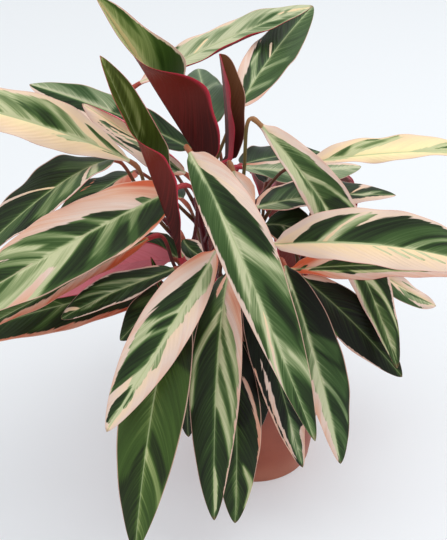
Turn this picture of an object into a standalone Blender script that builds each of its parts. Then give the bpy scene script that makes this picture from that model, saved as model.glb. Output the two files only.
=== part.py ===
"""A potted stromanthe: plastic nursery pot, soil, leafy shoots and long waved leaves. Metres, +Z up."""

from math import cos, hypot, pi, radians, sin

import bmesh
import bpy
from mathutils import Vector

MM = 0.001

# Pot, a 14 cm nursery pot
POT_HEIGHT = 125 * MM
POT_FOOT_RADIUS = 50 * MM
POT_NECK_RADIUS = 65 * MM
POT_RIM_RADIUS = 69 * MM
POT_RIM_HEIGHT = 14 * MM
POT_WALL = 1.6 * MM
POT_FLOOR = 2.4 * MM
DRAIN_HOLES = 6
DRAIN_RADIUS = 4 * MM
DRAIN_CIRCLE = 30 * MM

# Soil
SOIL_TOP = 108 * MM
SOIL_BUMP = 2.5 * MM
HOLE_DEPTH = 24 * MM

# The gap between two pieces that touch
GAP = 0.3 * MM

# Faces around the turned and round pieces
POT_SIDES = 30
SOIL_SIDES = 28
HOLE_SIDES = 12
CANE_SIDES = 7
STUB_SIDES = 6

# Shoots and petioles
CANE_RADIUS = 3.2 * MM
CANE_FOOT_RADIUS = 1.1 * CANE_RADIUS
CANE_STEPS = 6
HOLE_RADIUS = CANE_FOOT_RADIUS + GAP
STUB_LENGTH = 11 * MM
STUB_RADIUS = 2.1 * MM
PETIOLE_RADIUS = 1.4 * MM
PULVINUS_RADIUS = 1.9 * MM

# Blades, lofted through rings of points, half of them on the upper side
RING_POINTS = 10
BLADE_THICKNESS = 0.8 * MM
RIB_DEPTH = 1.0 * MM
TIP_HALF_WIDTH = 0.5 * MM

# Shoots: name, foot on the soil (x, y), point it bends towards, top
SHOOTS = {
    "shoot_1": ((-14, -24), (-16, -30, 165), (-36, -42, 222)),
    "shoot_2": ((-34, -8), (-42, -10, 165), (-66, -22, 236)),
    "shoot_3": ((8, -22), (8, -24, 150), (4, -28, 196)),
    "shoot_4": ((-8, 4), (-10, 4, 170), (-22, 4, 248)),
    "shoot_5": ((28, -8), (32, -8, 140), (40, -6, 176)),
    "shoot_6": ((-32, 18), (-36, 18, 170), (-48, 24, 236)),
    "shoot_7": ((4, 30), (4, 32, 160), (2, 40, 226)),
    "shoot_8": ((-34, -34), (-42, -36, 135), (-58, -38, 172)),
    "shoot_9": ((32, 22), (36, 26, 140), (44, 36, 196)),
}


def leaf(name, shoot, joint, base, middle, tip, width, face,
         fold=(14, 8), bend=(10, 14), wave=2.0, kind="mixed", tip_face=None):
    """A row of the leaf list. Lengths in mm, angles in degrees.

    joint: how far up its shoot the petiole starts. base, middle, tip: points of the midrib.
    face: the way the upper side looks, and tip_face at the tip if it differs.
    fold: rise of each half from the midrib, at base and tip.
    bend: how far a half curves back down on its way to the margin, at base and tip.
    """
    return dict(
        name=name,
        shoot=shoot,
        joint=joint,
        base=base,
        middle=middle,
        tip=tip,
        width=width,
        face=face,
        tip_face=tip_face or face,
        fold=fold,
        bend=bend,
        wave=wave,
        kind=kind,
    )


LEAVES = [
    # Hanging in front of the pot
    leaf("front_1", "shoot_1", 0.98, (-50, -60, 316), (-14, -110, 260), (40, -150, 129),
         width=45, face=(0.1, -1, 0.7)),
    leaf("front_2", "shoot_1", 0.80, (-31, -80, 248), (-65, -130, 210), (-107, -170, 154),
         width=46, face=(0, -1, 0.8)),
    leaf("front_3", "shoot_8", 0.84, (-59, -66, 206), (-76, -142, 158), (-95, -180, 50),
         width=48, face=(0, -1, 0.5), kind="green"),
    leaf("front_4", "shoot_1", 0.66, (-22, -53, 214), (-31, -115, 158), (-33, -150, 52),
         width=40, face=(0, -1, 0.5)),
    leaf("front_5", "shoot_3", 0.60, (-20, -66, 168), (-16, -106, 107), (-17, -126, 26),
         width=38, face=(0.1, -1, 0.4)),
    leaf("front_6", "shoot_8", 0.70, (-42, -48, 188), (-53, -72, 143), (-54, -80, 75),
         width=30, face=(-0.2, -1, 0.3)),
    leaf("front_7", "shoot_3", 0.86, (-8, -40, 202), (12, -84, 152), (37, -97, 58),
         width=34, face=(0.3, -1, 0.4)),
    leaf("front_8", "shoot_3", 0.99, (20, -42, 214), (45, -90, 153), (65, -110, 73),
         width=42, face=(0.2, -1, 0.5)),
    leaf("front_9", "shoot_3", 0.40, (-12, -62, 156), (-3, -76, 126), (3, -84, 88),
         width=27, face=(0.1, -1, 0.2)),
    # Reaching to the right
    leaf("right_1", "shoot_4", 0.90, (-1, -30, 325), (72, -5, 221), (114, -55, 127),
         width=38, face=(0.3, -1, 0.7)),
    leaf("right_2", "shoot_3", 0.46, (10, -50, 236), (86, -80, 258), (166, -100, 249),
         width=50, face=(0, -0.7, 1), fold=(24, 10)),
    leaf("right_3", "shoot_5", 0.86, (25, -32, 202), (93, -48, 216), (182, -55, 218),
         width=38, face=(0, -0.3, 1), fold=(20, 10)),
    leaf("right_4", "shoot_5", 0.66, (36, -12, 184), (76, -30, 154), (120, -40, 105),
         width=38, face=(0.3, -0.8, 0.7)),
    leaf("right_5", "shoot_5", 0.99, (73, 10, 196), (118, 0, 168), (150, 0, 148),
         width=24, face=(0.2, -0.8, 0.8)),
    leaf("right_6", "shoot_7", 0.99, (40, 20, 273), (104, 20, 283), (181, 30, 279),
         width=30, face=(0, -0.45, 1), fold=(12, 8)),
    leaf("right_7", "shoot_4", 0.60, (-2, -10, 245), (51, 20, 240), (119, 60, 220),
         width=38, face=(0, -0.5, 1), fold=(12, 8)),
    leaf("right_8", "shoot_4", 0.72, (-13, 46, 253), (39, 75, 236), (95, 110, 223),
         width=32, face=(0, -0.4, 1)),
    leaf("right_9", "shoot_7", 0.80, (-12, 60, 248), (19, 100, 237), (61, 140, 223),
         width=34, face=(0, -0.4, 1)),
    # Reaching to the left
    leaf("left_1", "shoot_2", 0.99, (-95, -24, 291), (-155, -55, 339), (-237, -84, 374),
         width=38, face=(0.2, -0.8, 0.8)),
    leaf("left_2", "shoot_4", 0.80, (-55, 0, 269), (-89, 0, 300), (-129, 0, 331),
         width=32, face=(0.2, -0.6, 1)),
    leaf("left_3", "shoot_2", 0.90, (-110, -10, 286), (-149, -60, 286), (-212, -84, 236),
         width=50, face=(-0.3, -0.3, 1), fold=(24, 14)),
    leaf("left_4", "shoot_6", 0.80, (-98, 32, 255), (-122, -6, 257), (-163, -38, 234),
         width=33, face=(-0.3, -0.5, 1)),
    leaf("left_5", "shoot_2", 0.74, (-59, -50, 283), (-128, -102, 270), (-225, -148, 229),
         width=54, face=(-0.2, -0.8, 0.9)),
    leaf("left_6", "shoot_2", 0.60, (-82, -40, 235), (-140, -68, 214), (-229, -95, 175),
         width=38, face=(-0.2, -0.6, 0.9)),
    leaf("left_7", "shoot_2", 0.30, (-68, -12, 175), (-154, -36, 172), (-243, -56, 150),
         width=42, face=(-0.1, -0.7, 0.8)),
    leaf("left_8", "shoot_2", 0.48, (-66, -12, 200), (-111, -28, 203), (-161, -44, 184),
         width=32, face=(0, 1, 0.45)),
    leaf("left_9", "shoot_8", 0.99, (-62, -62, 221), (-106, -92, 219), (-142, -110, 208),
         width=32, face=(0, -0.7, 1)),
    # Standing up, folded or still furled
    leaf("upright_1", "shoot_4", 0.50, (-38, -22, 283), (-79, -30, 353), (-113, -25, 415),
         width=66, face=(0.8, 0.3, 0.5), tip_face=(0.7, -0.2, 0.7), fold=(62, 40), bend=(-5, -10),
         wave=1.5, kind="young"),
    leaf("upright_2", "shoot_1", 0.90, (-56, -80, 240), (-84, -92, 326), (-105, -92, 398),
         width=36, face=(1, 0.1, 0.2), tip_face=(0.2, -1, 0.3), fold=(45, 25), bend=(-50, -20),
         wave=0.5, kind="young"),
    leaf("upright_3", "shoot_4", 1.00, (-24, 0, 281), (-25, 0, 324), (-29, 0, 364),
         width=34, face=(-0.2, 0.9, 0.2), fold=(25, 20), bend=(-50, -40),
         wave=0.5, kind="young"),
    leaf("upright_8", "shoot_8", 0.44, (-73, -57, 196), (-76, -59, 213), (-80, -60, 230),
         width=8, face=(0.3, -1, 0.2), fold=(25, 20), bend=(-50, -40),
         wave=0.2, kind="young"),
    leaf("upright_4", "shoot_6", 0.99, (-15, 30, 310), (13, 85, 334), (50, 150, 354),
         width=36, face=(-0.2, -0.9, 0.6)),
    leaf("upright_5", "shoot_6", 0.90, (-96, 80, 311), (-24, 100, 342), (45, 97, 371),
         width=35, face=(-0.1, -0.5, 1)),
    leaf("upright_6", "shoot_6", 0.70, (-49, 20, 280), (-116, 50, 300), (-184, 80, 311),
         width=38, face=(0, -0.7, 0.9)),
    leaf("upright_7", "shoot_6", 0.50, (-34, 44, 290), (-42, 110, 292), (-49, 190, 283),
         width=38, face=(0, -0.3, 1)),
    # Small inner leaves
    leaf("inner_1", "shoot_1", 0.54, (-56, -51, 240), (-50, -56, 234), (-40, -61, 230),
         width=18, face=(0, -0.5, 1)),
    leaf("inner_2", "shoot_4", 0.66, (-19, -29, 286), (-9, -42, 266), (2, -50, 246),
         width=32, face=(0.2, -0.8, 0.8)),
    leaf("inner_3", "shoot_8", 0.56, (-72, -25, 184), (-86, -43, 172), (-107, -56, 152),
         width=28, face=(-0.2, -0.7, 0.8)),
    leaf("inner_4", "shoot_6", 0.30, (-63, 0, 194), (-78, -2, 206), (-95, -6, 214),
         width=26, face=(0, -0.6, 1)),
    leaf("inner_5", "shoot_7", 0.45, (8, 8, 220), (30, 3, 220), (58, 0, 206),
         width=36, face=(0, -0.6, 1)),
    # On the far side
    leaf("rear_1", "shoot_7", 0.60, (10, 70, 225), (20, 140, 200), (30, 190, 110),
         width=42, face=(0, 0.8, 0.8)),
    leaf("rear_2", "shoot_9", 0.99, (50, 58, 205), (78, 112, 172), (100, 145, 95),
         width=42, face=(0.4, 0.8, 0.8)),
    leaf("rear_3", "shoot_6", 0.56, (-60, 60, 215), (-95, 115, 190), (-120, 155, 105),
         width=42, face=(-0.4, 0.7, 0.7)),
    leaf("rear_4", "shoot_9", 0.80, (70, 40, 190), (106, 66, 160), (128, 82, 100),
         width=34, face=(0.9, 0.1, 0.7)),
    leaf("rear_5", "shoot_9", 0.62, (30, 70, 180), (38, 115, 140), (45, 135, 60),
         width=34, face=(0.2, 0.9, 0.4)),
    leaf("rear_6", "shoot_6", 0.42, (-30, 70, 180), (-38, 120, 140), (-48, 140, 55),
         width=36, face=(-0.1, 0.9, 0.4)),
    leaf("rear_7", "shoot_7", 0.62, (-26, 58, 214), (-30, 128, 204), (-40, 180, 130),
         width=40, face=(0, 0.8, 0.8)),
    leaf("rear_8", "shoot_7", 0.78, (38, 68, 226), (70, 122, 206), (96, 164, 136),
         width=40, face=(0.3, 0.8, 0.8)),
    leaf("rear_9", "shoot_9", 0.90, (68, 28, 205), (114, 60, 186), (158, 92, 138),
         width=36, face=(0.4, 0.2, 1)),
]

LEAF_COLOURS = {
    "mixed": (0.10, 0.22, 0.08, 1),
    "green": (0.12, 0.28, 0.06, 1),
    "young": (0.22, 0.03, 0.05, 1),
}


def clear_scene():
    for obj in list(bpy.data.objects):
        bpy.data.objects.remove(obj, do_unlink=True)


def make_collection(name, hidden=False):
    made = bpy.data.collections.new(name)
    made.hide_render = hidden
    bpy.context.scene.collection.children.link(made)
    return made


def make_material(name, colour, roughness):
    made = bpy.data.materials.new(name)
    made.use_nodes = True
    shader = made.node_tree.nodes["Principled BSDF"]
    shader.inputs["Base Color"].default_value = colour
    shader.inputs["Roughness"].default_value = roughness
    made.diffuse_color = colour
    return made


def add_object(name, mesh_builder, collection, material=None, sharp=40):
    mesh = bpy.data.meshes.new(name)
    mesh_builder.to_mesh(mesh)
    mesh_builder.free()
    mesh.shade_smooth()
    mesh.set_sharp_from_angle(angle=radians(sharp))
    made = bpy.data.objects.new(name, mesh)
    if material:
        mesh.materials.append(material)
    collection.objects.link(made)
    return made


def cut_or_join(target, other, operation):
    modifier = target.modifiers.new(other.name, "BOOLEAN")
    modifier.operation = operation
    modifier.solver = "EXACT"
    modifier.object = other


def make_helper(name, mesh_builder, collection):
    """A cutter, or a piece that is joined to another."""
    made = add_object(name, mesh_builder, collection)
    made.hide_render = True
    made.display_type = "WIRE"
    return made


def cylinder(radius, low, high, x, y, sides):
    made = bmesh.new()
    bmesh.ops.create_cone(
        made, cap_ends=True, segments=sides, radius1=radius, radius2=radius, depth=high - low
    )
    bmesh.ops.translate(made, verts=made.verts, vec=(x, y, (low + high) / 2))
    return made


def tube(points, radii, sides):
    """A closed tube of round sections along a line of points."""
    made = bmesh.new()
    rings = []
    side = Vector((1, 0, 0))
    for i, point in enumerate(points):
        ahead = points[min(i + 1, len(points) - 1)]
        behind = points[max(i - 1, 0)]
        along = (ahead - behind).normalized()
        side = (side - along * side.dot(along)).normalized()
        up = along.cross(side)
        ring = []
        for k in range(sides):
            angle = 2 * pi * k / sides
            ring.append(made.verts.new(point + (side * cos(angle) + up * sin(angle)) * radii[i]))
        rings.append(ring)
    for low, high in zip(rings, rings[1:]):
        for k in range(sides):
            other = (k + 1) % sides
            made.faces.new((low[k], low[other], high[other], high[k]))
    made.faces.new(tuple(reversed(rings[0])))
    made.faces.new(tuple(rings[-1]))
    bmesh.ops.recalc_face_normals(made, faces=made.faces)
    return made


def make_pot(collection, cutters):
    wall_lean = (POT_NECK_RADIUS - POT_FOOT_RADIUS) / (POT_HEIGHT - POT_RIM_HEIGHT)
    neck = POT_HEIGHT - POT_RIM_HEIGHT
    inner_foot = POT_FOOT_RADIUS - POT_WALL + wall_lean * POT_FLOOR
    profile = [
        (0, 0),
        (POT_FOOT_RADIUS - 1 * MM, 0),
        (POT_FOOT_RADIUS, 1 * MM),
        (POT_NECK_RADIUS, neck),
        (POT_RIM_RADIUS - 0.8 * MM, neck + 0.4 * MM),
        (POT_RIM_RADIUS, neck + 1.4 * MM),
        (POT_RIM_RADIUS + 0.6 * MM, POT_HEIGHT - 1 * MM),
        (POT_RIM_RADIUS, POT_HEIGHT),
        (POT_RIM_RADIUS - POT_WALL + 0.4 * MM, POT_HEIGHT),
        (POT_RIM_RADIUS - POT_WALL, POT_HEIGHT - 1 * MM),
        (POT_RIM_RADIUS - POT_WALL - 1 * MM, neck + 2.5 * MM),
        (POT_NECK_RADIUS - POT_WALL + 0.1 * MM, neck + 0.6 * MM),
        (inner_foot, POT_FLOOR),
        (0, POT_FLOOR),
    ]
    made = bmesh.new()
    corners = [made.verts.new((x, 0, z)) for x, z in profile]
    for a, b in zip(corners, corners[1:]):
        made.edges.new((a, b))
    pot = add_object("pot", made, collection, make_material("pot", (0.27, 0.075, 0.045, 1), 0.6))
    screw = pot.modifiers.new("turn", "SCREW")
    screw.steps = POT_SIDES
    screw.render_steps = POT_SIDES
    screw.use_normal_calculate = True
    screw.use_merge_vertices = True
    screw.merge_threshold = 0.00005
    for k in range(DRAIN_HOLES):
        angle = 2 * pi * (k + 0.2) / DRAIN_HOLES
        x = DRAIN_CIRCLE * cos(angle)
        y = DRAIN_CIRCLE * sin(angle)
        drill = cylinder(DRAIN_RADIUS, -5 * MM, 5 * MM, x, y, HOLE_SIDES)
        cut_or_join(pot, make_helper(f"drain_{k + 1}", drill, cutters), "DIFFERENCE")
    return pot


def inner_pot_radius(z):
    """The radius of the soil at this height, one gap inside the pot's wall."""
    wall_lean = (POT_NECK_RADIUS - POT_FOOT_RADIUS) / (POT_HEIGHT - POT_RIM_HEIGHT)
    return POT_FOOT_RADIUS - POT_WALL + wall_lean * z - GAP - 0.1 * MM


def soil_height(x, y):
    """The bumpy top of the soil, low at the rim and a little heaped in the middle."""
    x, y = x / MM, y / MM
    far = hypot(x, y) / 62
    bumps = sin(0.31 * x + 1.2) * cos(0.27 * y - 0.4) + 0.6 * sin(0.53 * x - 0.61 * y + 2.0)
    return SOIL_TOP + SOIL_BUMP * (0.45 * bumps * (1 - 0.5 * far) + 0.8 - far * far)


def make_soil(collection, cutters):
    made = bmesh.new()
    rings = []
    for share in (0.25, 0.5, 0.75, 0.92, 1):
        ring = []
        for k in range(SOIL_SIDES):
            angle = 2 * pi * k / SOIL_SIDES
            radius = share * inner_pot_radius(SOIL_TOP - 3 * MM)
            x, y = radius * cos(angle), radius * sin(angle)
            ring.append(made.verts.new((x, y, soil_height(x, y))))
        rings.append(ring)
    foot = []
    for k in range(SOIL_SIDES):
        angle = 2 * pi * k / SOIL_SIDES
        radius = inner_pot_radius(POT_FLOOR + GAP)
        foot.append(made.verts.new((radius * cos(angle), radius * sin(angle), POT_FLOOR + GAP)))
    rings.append(foot)
    centre = made.verts.new((0, 0, soil_height(0, 0)))
    for k in range(SOIL_SIDES):
        other = (k + 1) % SOIL_SIDES
        made.faces.new((centre, rings[0][k], rings[0][other]))
        for inner, outer in zip(rings, rings[1:]):
            made.faces.new((inner[k], outer[k], outer[other], inner[other]))
    made.faces.new(tuple(reversed(foot)))
    bmesh.ops.recalc_face_normals(made, faces=made.faces)
    soil = add_object("soil", made, collection, make_material("soil", (0.045, 0.028, 0.018, 1), 0.95))
    for name, (foot_xy, _, _) in SHOOTS.items():
        x, y = foot_xy[0] * MM, foot_xy[1] * MM
        drill = cylinder(HOLE_RADIUS, SOIL_TOP - HOLE_DEPTH, SOIL_TOP + 20 * MM, x, y, HOLE_SIDES)
        cut_or_join(soil, make_helper(f"hole_{name}", drill, cutters), "DIFFERENCE")
    return soil


def shoot_point(name, share):
    """A point of a shoot's middle line, from 0 at the soil to 1 at its top."""
    foot, towards, top = SHOOTS[name]
    start = Vector((foot[0], foot[1], SOIL_TOP / MM)) * MM
    middle = Vector(towards) * MM
    end = Vector(top) * MM
    return start * (1 - share) ** 2 + middle * 2 * share * (1 - share) + end * share**2


def stub_of(row):
    """Where a leaf's petiole starts: the point and the direction of the stub that carries it."""
    root = shoot_point(row["shoot"], row["joint"])
    ahead = shoot_point(row["shoot"], row["joint"] + 0.01)
    along = (ahead - root).normalized()
    if row["joint"] >= 1:
        return root, along
    outward = Vector(row["base"]) * MM - root
    outward = (outward - along * outward.dot(along)).normalized()
    return root, (along * 0.8 + outward * 0.6).normalized()


def make_shoot(name, collection, helpers, material):
    foot = SHOOTS[name][0]
    bottom = SOIL_TOP - HOLE_DEPTH + GAP
    points = [Vector((foot[0] * MM, foot[1] * MM, bottom)), Vector((foot[0] * MM, foot[1] * MM, SOIL_TOP))]
    radii = [CANE_FOOT_RADIUS, CANE_FOOT_RADIUS]
    for k in range(1, CANE_STEPS + 1):
        share = k / CANE_STEPS
        points.append(shoot_point(name, share))
        radii.append(CANE_FOOT_RADIUS - 0.4 * CANE_RADIUS * share)
    shoot = add_object(name, tube(points, radii, CANE_SIDES), collection, material)
    for row in LEAVES:
        if row["shoot"] != name or row["joint"] >= 1:
            continue
        root, direction = stub_of(row)
        ends = [root, root + direction * STUB_LENGTH]
        stub = tube(ends, [STUB_RADIUS, STUB_RADIUS * 0.86], STUB_SIDES)
        cut_or_join(shoot, make_helper(f"stub_{row['name']}", stub, helpers), "UNION")
    return shoot


def blade_width(share):
    """A blade's width from base to tip, as a share of its greatest width."""
    return sin(pi * share**0.9) ** 0.72


def half_section(half, fold, bend, height_wave):
    """Points and upward directions across one half of a blade: at the midrib, halfway and at the margin."""
    out = [(0.0, 0.0, 0.0)]
    x = z = 0.0
    for k in (0.25, 0.75):
        angle = radians(fold - bend * k * 1.4)
        x += half / 2 * cos(angle)
        z += half / 2 * sin(angle)
        reach = k + 0.25
        out.append((x, z + height_wave * reach**2, radians(fold - bend * reach)))
    return out


def blade_ring(half, fold, bend, left_wave, right_wave, rib):
    """The points (across, up) of a blade's section: five on the upper side and five on the lower."""
    left = half_section(half, fold, bend, left_wave)
    right = half_section(half, fold, bend, right_wave)
    line = [(-x, z, -a) for x, z, a in reversed(left[1:])] + [(0.0, 0.0, 0.0)]
    line += [(x, z, a) for x, z, a in right[1:]]
    thin = BLADE_THICKNESS / 2
    upper = [(x - thin * sin(a), z + thin * cos(a)) for x, z, a in line]
    lower = [(x + thin * sin(a), z - thin * cos(a)) for x, z, a in line]
    lower[2] = (0.0, -thin - rib)
    return upper + lower[::-1]


def stalk_ring(radius):
    angles = [162, 126, 90, 54, 18, -18, -54, -90, -126, -162]
    return [(radius * cos(radians(a)), radius * sin(radians(a))) for a in angles]


def blend_rings(first, second, share):
    return [
        (a[0] * (1 - share) + b[0] * share, a[1] * (1 - share) + b[1] * share)
        for a, b in zip(first, second)
    ]


def smooth(share):
    share = min(max(share, 0.0), 1.0)
    return share * share * (3 - 2 * share)


def leaf_sections(row, number):
    """The sections of a leaf from the foot of its petiole to the tip: middle, direction, facing, ring."""
    base = Vector(row["base"]) * MM
    tip = Vector(row["tip"]) * MM
    bow = Vector(row["middle"]) * MM * 2 - (base + tip) / 2
    face = Vector(row["face"]).normalized()
    tip_face = Vector(row["tip_face"]).normalized()
    length = (Vector(row["middle"]) * MM - base).length + (tip - Vector(row["middle"]) * MM).length
    half = row["width"] * MM / 2

    steps = 7 if length > 150 * MM else 6 if length > 110 * MM else 4
    shares = [0, 0.025, 0.07] + [0.07 + 0.86 * k / steps for k in range(1, steps + 1)] + [1]
    waves = 1.2 + length / (150 * MM)
    phase = 1.7 * number
    blade = []
    for share in shares:
        middle = base * (1 - share) ** 2 + bow * 2 * share * (1 - share) + tip * share**2
        along = ((bow - base) * (1 - share) + (tip - bow) * share).normalized()
        facing = face.lerp(tip_face, share)
        facing = (facing - along * facing.dot(along)).normalized()
        fold = row["fold"][0] * (1 - share) + row["fold"][1] * share
        bend = row["bend"][0] * (1 - share) + row["bend"][1] * share
        swell = row["wave"] * MM * sin(pi * share) ** 0.7
        left_wave = swell * sin(2 * pi * waves * share + phase)
        right_wave = swell * sin(2 * pi * waves * 0.93 * share + phase * 2.3 + 1)
        width = max(half * blade_width(min(share, 0.999)), TIP_HALF_WIDTH)
        rib = RIB_DEPTH * (1 - share) ** 1.5 * min(1, share / 0.06 + 0.3)
        ring = blade_ring(width, fold, bend, left_wave, right_wave, rib)
        ring = blend_rings(stalk_ring(PULVINUS_RADIUS), ring, smooth(share / 0.06))
        blade.append((middle, along, facing, ring))

    root, direction = stub_of(row)
    start = root + direction * (GAP if row["joint"] >= 1 else STUB_LENGTH + GAP)
    reach = (base - start).length
    arrive = blade[0][1]
    first = start + direction * reach * 0.5
    second = base - arrive * min(reach * 0.4, 30 * MM)
    stalk = []
    for share in (0, 0.35, 0.68, 0.9):
        rest = 1 - share
        middle = start * rest**3 + first * 3 * share * rest**2
        middle += second * 3 * share**2 * rest + base * share**3
        along = (first - start) * rest**2 + (second - first) * 2 * share * rest
        along += (base - second) * share**2
        radius = PETIOLE_RADIUS + (PULVINUS_RADIUS - PETIOLE_RADIUS) * smooth((share - 0.72) / 0.12)
        stalk.append([middle, along.normalized(), None, stalk_ring(radius)])
    facing = blade[0][2]
    for section in reversed(stalk):
        along = section[1]
        facing = (facing - along * facing.dot(along)).normalized()
        section[2] = facing
    return stalk + blade


def make_leaf(row, number, collection, materials):
    made = bmesh.new()
    rings = []
    for middle, along, facing, ring in leaf_sections(row, number):
        side = along.cross(facing)
        rings.append([made.verts.new(middle + side * x + facing * z) for x, z in ring])
    for low, high in zip(rings, rings[1:]):
        for k in range(RING_POINTS):
            other = (k + 1) % RING_POINTS
            if k < RING_POINTS // 2:
                made.faces.new((low[k], low[other], high[other]))
                made.faces.new((low[k], high[other], high[k]))
            else:
                made.faces.new((low[k], low[other], high[k]))
                made.faces.new((low[other], high[other], high[k]))
    for ring, turned in ((rings[0], True), (rings[-1], False)):
        corners = tuple(reversed(ring)) if turned else tuple(ring)
        made.faces.new(corners)
    bmesh.ops.recalc_face_normals(made, faces=made.faces)
    return add_object(row["name"], made, collection, materials[row["kind"]], sharp=70)


def main():
    clear_scene()
    collection = make_collection("potted_stromanthe")
    helpers = make_collection("cutters", hidden=True)
    make_pot(collection, helpers)
    make_soil(collection, helpers)
    cane = make_material("cane", (0.20, 0.09, 0.05, 1), 0.6)
    for name in SHOOTS:
        make_shoot(name, collection, helpers, cane)
    materials = {kind: make_material(f"leaf_{kind}", colour, 0.4) for kind, colour in LEAF_COLOURS.items()}
    for number, row in enumerate(LEAVES):
        make_leaf(row, number, collection, materials)


main()
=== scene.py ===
import math

import bpy
import numpy as np
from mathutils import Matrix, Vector


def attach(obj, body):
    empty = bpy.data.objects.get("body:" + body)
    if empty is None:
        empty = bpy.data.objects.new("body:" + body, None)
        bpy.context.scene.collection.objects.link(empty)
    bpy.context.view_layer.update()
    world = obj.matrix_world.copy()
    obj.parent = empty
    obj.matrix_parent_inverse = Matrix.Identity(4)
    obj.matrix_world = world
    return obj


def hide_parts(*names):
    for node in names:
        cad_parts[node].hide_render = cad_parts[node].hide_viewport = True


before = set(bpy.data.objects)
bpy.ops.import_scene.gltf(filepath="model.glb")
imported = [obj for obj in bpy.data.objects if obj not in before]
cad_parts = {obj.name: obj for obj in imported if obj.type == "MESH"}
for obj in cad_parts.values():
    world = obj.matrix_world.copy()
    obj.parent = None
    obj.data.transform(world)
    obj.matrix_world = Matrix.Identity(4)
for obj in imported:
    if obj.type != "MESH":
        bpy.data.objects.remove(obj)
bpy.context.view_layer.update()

# The view of the photograph: a long lens that looks down at the pot from the front, with the plant filling
# the frame and its longest leaves running out of it.
camera = bpy.data.objects.new("camera", bpy.data.cameras.new("camera"))
camera.location = (-0.026, -0.766, 0.643)
camera.rotation_euler = (math.radians(59), 0, 0)
camera.data.lens = 73.33
bpy.context.scene.collection.objects.link(camera)
bpy.context.scene.camera = camera


# The room: a white table top in a bright white room, with a large soft light high on the right and a weaker
# one on the left, and the table top glows faintly as painted light. Shadows are pale and have no edge.
def channel(value):
    """One channel of a colour, 0 to 255 as the eye reads it, in the linear scale of light."""
    value /= 255
    return value / 12.92 if value <= 0.04045 else ((value + 0.055) / 1.055) ** 2.4


def paint(red, green, blue):
    return (channel(red), channel(green), channel(blue), 1)


def new_material(name):
    made = bpy.data.materials.new(name)
    made.use_nodes = True
    return made, made.node_tree, made.node_tree.nodes["Principled BSDF"]


FLOOR_SIZE = 8
bpy.ops.mesh.primitive_plane_add(size=FLOOR_SIZE)
table_top = bpy.context.object
table_top.name = "table_top"
floor_finish_and_glow, tree, shader = new_material("table_top")
shader.inputs["Base Color"].default_value = paint(203, 207, 209)
# The faint glow of the table top is painted light, which lifts the shadows on it
shader.inputs["Emission Color"].default_value = paint(240, 241, 244)
shader.inputs["Emission Strength"].default_value = 0.3
shader.inputs["Roughness"].default_value = 0.6
table_top.data.materials.append(floor_finish_and_glow)

world = bpy.data.worlds.new("room")
world.use_nodes = True
world.node_tree.nodes["Background"].inputs["Color"].default_value = paint(243, 245, 248)
world.node_tree.nodes["Background"].inputs["Strength"].default_value = 0.82
bpy.context.scene.world = world
bpy.context.scene.view_settings.view_transform = "Standard"

# Where each light hangs and its width, in metres, and its power in watts
LIGHTS = {
    "window": ((0.9, 0.15, 1.8), 1.6, 18),
    "fill": ((-1.3, -0.9, 1.4), 1.8, 6),
}
for name, (place, size, power) in LIGHTS.items():
    light = bpy.data.objects.new(name, bpy.data.lights.new(name, "AREA"))
    light.data.size = size
    light.data.energy = power
    light.location = place
    light.rotation_euler = (Vector((0, 0, 0.2)) - Vector(place)).to_track_quat("-Z", "Y").to_euler()
    bpy.context.scene.collection.objects.link(light)


# The pot: a thin moulded nursery pot of terracotta-coloured plastic, with a stiff rolled rim and six drain
# holes in its floor. Its profile is turned round the pot's axis, and keeps the wall of the solid.
MM = 0.001
POT_HEIGHT = 125 * MM
POT_FOOT, POT_NECK, POT_RIM = 50 * MM, 65 * MM, 69 * MM
RIM_HEIGHT = 14 * MM
POT_WALL = 1.6 * MM
POT_FLOOR = 2.4 * MM
# The rim's lower edge lies in a little and its top flares out, and the wall steps in below it
RIM_TUCK, RIM_FLARE, RIM_STEP = 0.6 * MM, 0.4 * MM, 0.4 * MM
INNER_TUCK, INNER_STEP, INNER_NECK = 1 * MM, 2.4 * MM, 0.6 * MM
CORNER_RADIUS = 1.2 * MM
SEAM_GAP = 0.02 * MM
POT_SIDES = 144
DRAIN_HOLES, DRAIN_RADIUS, DRAIN_CIRCLE = 6, 4 * MM, 30 * MM
DRAIN_SIDES, DRAIN_TURN = 24, 0.2
DRILL_LENGTH = 20 * MM


def place_node(tree, kind, inputs=(), **settings):
    """A node with its settings. Each input is given a plain value or another node's output."""
    made = tree.nodes.new(kind)
    for name, value in settings.items():
        setattr(made, name, value)
    for name, value in dict(inputs).items():
        if isinstance(value, bpy.types.NodeSocket):
            tree.links.new(value, made.inputs[name])
        else:
            made.inputs[name].default_value = value
    return made.outputs


def put(tree, kind, inputs=(), **settings):
    return place_node(tree, "ShaderNode" + kind, inputs, **settings)


def maths(tree, operation, first, second=0.0):
    return put(tree, "Math", {0: first, 1: second}, operation=operation)[0]


def times(tree, first, second):
    return maths(tree, "MULTIPLY", first, second)


def step(tree, value, low, high):
    """A soft step: 0 below low and 1 above high, or the other way round if low is the greater."""
    if low < high:
        return put(tree, "MapRange", {0: value, 1: low, 2: high}, interpolation_type="SMOOTHSTEP")[0]
    limits = {0: value, 1: high, 2: low, 3: 1.0, 4: 0.0}
    return put(tree, "MapRange", limits, interpolation_type="SMOOTHSTEP")[0]


def mix(tree, share, first, second):
    """A blend of two colours: sockets 6 and 7 of the node are its colour inputs."""
    return put(tree, "Mix", {0: share, 6: first, 7: second}, data_type="RGBA")[2]


def noise(tree, place, scale, detail=2.0, roughness=0.5):
    given = {"Vector": place, "Scale": scale, "Detail": detail, "Roughness": roughness}
    return put(tree, "TexNoise", given)[0]


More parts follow.
